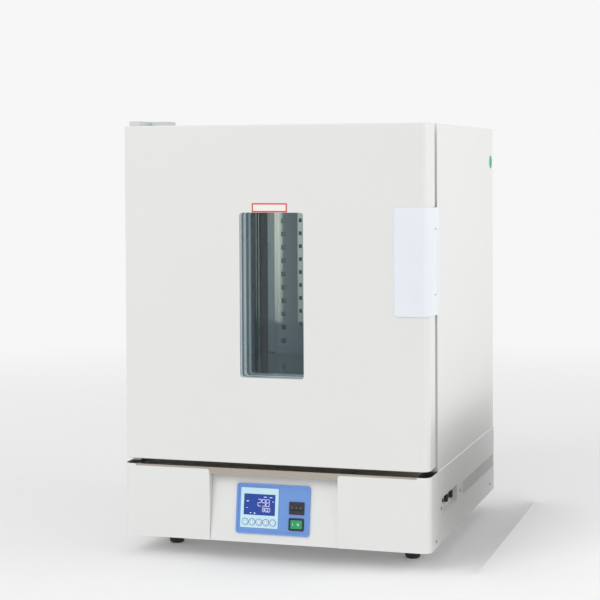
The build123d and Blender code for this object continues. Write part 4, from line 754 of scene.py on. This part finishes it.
def wheelDigits(number):
    look = wheelLook
    axis = panelMatrix @ Matrix.Translation((look["across"][number] * mm, look["up"] * mm, look["depth"] * mm))
    shape = bmesh.new()
    for digit in range(10):
        text = bpy.data.curves.new("digit", "FONT")
        text.body = str(digit)
        text.size = look["size"]
        text.offset = look["bold"]
        text.align_x, text.align_y = "CENTER", "CENTER"
        text.resolution_u = 2
        carrier = bpy.data.objects.new("digit", text)
        bpy.context.scene.collection.objects.link(carrier)
        graph = bpy.context.evaluated_depsgraph_get()
        flat = bpy.data.meshes.new_from_object(carrier.evaluated_get(graph))
        bpy.data.objects.remove(carrier)
        # the flat digit is wound round the rim
        for vertex in flat.vertices:
            angle = vertex.co.y / (look["radius"] * mm) + math.radians(look["first"] - look["step"] * digit)
            radius = (look["radius"] + look["lift"]) * mm
            vertex.co = axis @ Vector((vertex.co.x, radius * math.sin(angle), radius * math.cos(angle)))
        shape.from_mesh(flat)
        bpy.data.meshes.remove(flat)
    mesh = bpy.data.meshes.new("digits")
    shape.to_mesh(mesh)
    shape.free()
    return mesh


# the wheels' digits glow though no lamp lights them: a painted glow
for number in range(3):
    addPiece(f"wheelDigits_{number + 1}", wheelDigits(number), "backlitInkAndPaintedGlow", f"digit_wheel_{number + 1}")
print("panel signs made")

# Dark square marks down both sides of the duct's face: painted reflections of the ladder uprights' holes
ductHoleReflectionLook = {"x": 90.5, "face": 142, "first": 607, "pitch": 27.1, "count": 9, "width": 6.5, "height": 8,
                "thick": 0.2}


def ductSlots(shape):
    look = ductHoleReflectionLook
    wide, tall = look["width"] / 2 * mm, look["height"] / 2 * mm
    for number in range(look["count"]):
        for side in (-1, 1):
            height = (look["first"] - number * look["pitch"]) * mm
            at = Matrix.Translation((side * look["x"] * mm, 0, height)) @ facingFront(look["face"] * mm)
            prism(shape, cornersOf(-wide, wide, -tall, tall), 0, look["thick"] * mm, at)


addPiece("ductSlots", meshFrom(ductSlots), "paintedHoleReflection", "cabinet")

# A blank paper strip over the window, and a round spot on the right side
stripLook = {"left": -37, "right": 30, "low": 637.5, "high": 654, "edge": 2.6, "corner": 0.8, "edgeTop": 0.15 * mm,
             "faceFoot": 0.1 * mm, "faceTop": 0.25 * mm}


def strip(inset, low, high):
    look = stripLook
    outline = roundedOutline((look["left"] + inset) * mm, (look["right"] - inset) * mm, (look["low"] + inset) * mm,
                             (look["high"] - inset) * mm, look["corner"] * mm)
    return lambda shape: prism(shape, outline, low, high, facingFront(frontFace))


edgeMesh = meshFrom(strip(0, 0, stripLook["edgeTop"]))
faceMesh = meshFrom(strip(stripLook["edge"], stripLook["faceFoot"], stripLook["faceTop"]))
addPiece("stripEdge", edgeMesh, "redInk", "door")
addPiece("stripFace", faceMesh, "stripPaper", "door")

spotLook = {"y": 259, "z": 727, "radius": 13.5, "thick": 0.3}


def sideSpot(shape):
    look = spotLook
    at = Matrix.Translation((halfBody, look["y"] * mm, look["z"] * mm)) @ Matrix.Rotation(math.pi / 2, 4, "Y")
    prism(shape, ringOutline(look["radius"] * mm, 40), 0, look["thick"] * mm, at)


addPiece("sideSpot", meshFrom(sideSpot), "dotGreen", "cabinet")
print("strip, spot and duct slots made")


# The studio. Each light: power, size (one number for a round one), place, and the point that it looks at
studio = {
    "worldLight": 0.67, "backdrop": 0.93, "floorColour": tone(236, 236, 236), "floorRadius": 30,
    "floorGlow": 0.11, "fadeStart": 0.45, "fadeLength": 3.0,
    "lights": {
        "keyLight": (62, 3.0, (-1.6, -3.4, 3.0), (0, 0, 0.4)),
        "sideLight": (12.5, 1.4, (2.1, 0.0, 1.25), (0.3, 0, 0.6)),
        "chamberLight": (0.3, (0.03, 0.4), (-0.19, 0.02, 0.52), (-0.14, 0.16, 0.52)),
        "stripLight": (2.4, (0.12, 1.6), (1.9, -1.5, 0.8), (0.29, -0.31, 0.5)),
    },
    "notMirrored": ["chamberLight"],
}
floorMaterial, bench = newMaterial("studioFloor")
speck = bench.noise(bench.place(), 2.0, 3.0)
spot = bench.node("ShaderNodeTexCoord", output="Object")
away = bench.node("ShaderNodeVectorMath", {"operation": "LENGTH"}, {0: spot}, output="Value")
bench.finish({
    "Base Color": bench.blend(speck, scaled(studio["floorColour"], 0.99), studio["floorColour"]),
    "Roughness": 0.9,
    "Specular IOR Level": 0.1,
    "Emission Color": studio["floorColour"],
    "Emission Strength": studio["floorGlow"],
    "Alpha": (1 - (away - studio["fadeStart"]) / studio["fadeLength"]).clamped(),
})
floorMesh = bpy.data.meshes.new("studioFloor")
flat = bmesh.new()
bmesh.ops.create_circle(flat, cap_ends=True, segments=96, radius=studio["floorRadius"])
flat.to_mesh(floorMesh)
flat.free()
floorMesh.materials.append(floorMaterial)
floor = bpy.data.objects.new("studioFloor", floorMesh)
bpy.context.scene.collection.objects.link(floor)

world = bpy.data.worlds.new("studio")
bpy.context.scene.world = world
world.use_nodes = True
world.node_tree.nodes.clear()
bench = Bench(world.node_tree)
path = bench.node("ShaderNodeLightPath", output="Is Camera Ray")
seen = (path + path.also("Is Glossy Ray") + path.also("Is Transmission Ray")).clamped()
light = bench.node("ShaderNodeBackground", {}, {"Color": (1, 1, 1, 1), "Strength": studio["worldLight"]})
backdrop = bench.node("ShaderNodeBackground", {}, {"Color": (1, 1, 1, 1), "Strength": studio["backdrop"]})
mixed = bench.node("ShaderNodeMixShader", {}, {0: seen, 1: light, 2: backdrop})
bench.node("ShaderNodeOutputWorld", {}, {"Surface": mixed})


def softLight(name, power, size, place, target):
    lamp = bpy.data.lights.new(name, "AREA")
    lamp.energy = power
    if isinstance(size, tuple):
        lamp.shape, lamp.size, lamp.size_y = "RECTANGLE", size[0], size[1]
    else:
        lamp.shape, lamp.size = "DISK", size
    holder = bpy.data.objects.new(name, lamp)
    holder.location = place
    holder.rotation_mode = "QUATERNION"
    holder.rotation_quaternion = (Vector(target) - Vector(place)).to_track_quat("-Z", "Y")
    bpy.context.scene.collection.objects.link(holder)
    return holder


for name, settings in studio["lights"].items():
    softLight(name, *settings).visible_glossy = name not in studio["notMirrored"]

# A grey card beside the oven, out of the camera's sight, shades the foot of its right side
card = {"x": 0.37, "front": -0.3, "back": 0.35, "foot": 0.001, "top": 0.22, "shade": tone(150, 150, 150)}
cardMaterial, bench = newMaterial("studioCard")
speck = bench.noise(bench.place(), 3.0, 2.0)
bench.finish({"Base Color": bench.blend(speck, scaled(card["shade"], 0.96), card["shade"]), "Roughness": 0.9})
cardMesh = bpy.data.meshes.new("studioCard")
cardCorners = cornersOf(card["front"], card["back"], card["foot"], card["top"])
cardMesh.from_pydata([(card["x"], y, z) for y, z in cardCorners], [], [(3, 2, 1, 0)])
cardMesh.materials.append(cardMaterial)
shade = bpy.data.objects.new("studioCard", cardMesh)
bpy.context.scene.collection.objects.link(shade)
shade.visible_camera = False
shade.visible_shadow = False

# The photograph's viewpoint
shot = {"place": (926.1 * mm, -3147.4 * mm, 721.2 * mm), "yaw": 17.18, "pitch": 1.54, "roll": -0.29,
        "focal": 1646.9, "width": 600, "rise": -90, "sensor": 36, "reach": 200}
yaw, pitch, roll = (math.radians(shot[k]) for k in ("yaw", "pitch", "roll"))
forward = Vector((-math.sin(yaw) * math.cos(pitch), math.cos(yaw) * math.cos(pitch), -math.sin(pitch)))
right = Vector((math.cos(yaw), math.sin(yaw), 0))
up = right.cross(forward)
across = math.cos(roll) * right + math.sin(roll) * up
upward = math.cos(roll) * up - math.sin(roll) * right
lens = bpy.data.cameras.new("shot")
lens.sensor_width = shot["sensor"]
lens.lens = shot["focal"] / shot["width"] * lens.sensor_width
lens.shift_y = shot["rise"] / shot["width"]
lens.clip_end = shot["reach"]
camera = bpy.data.objects.new("shot", lens)
camera.matrix_world = Matrix.Translation(shot["place"]) @ Matrix((across, upward, -forward)).transposed().to_4x4()
bpy.context.scene.collection.objects.link(camera)
bpy.context.scene.camera = camera
bpy.context.scene.view_settings.view_transform = "Standard"
print("studio set")
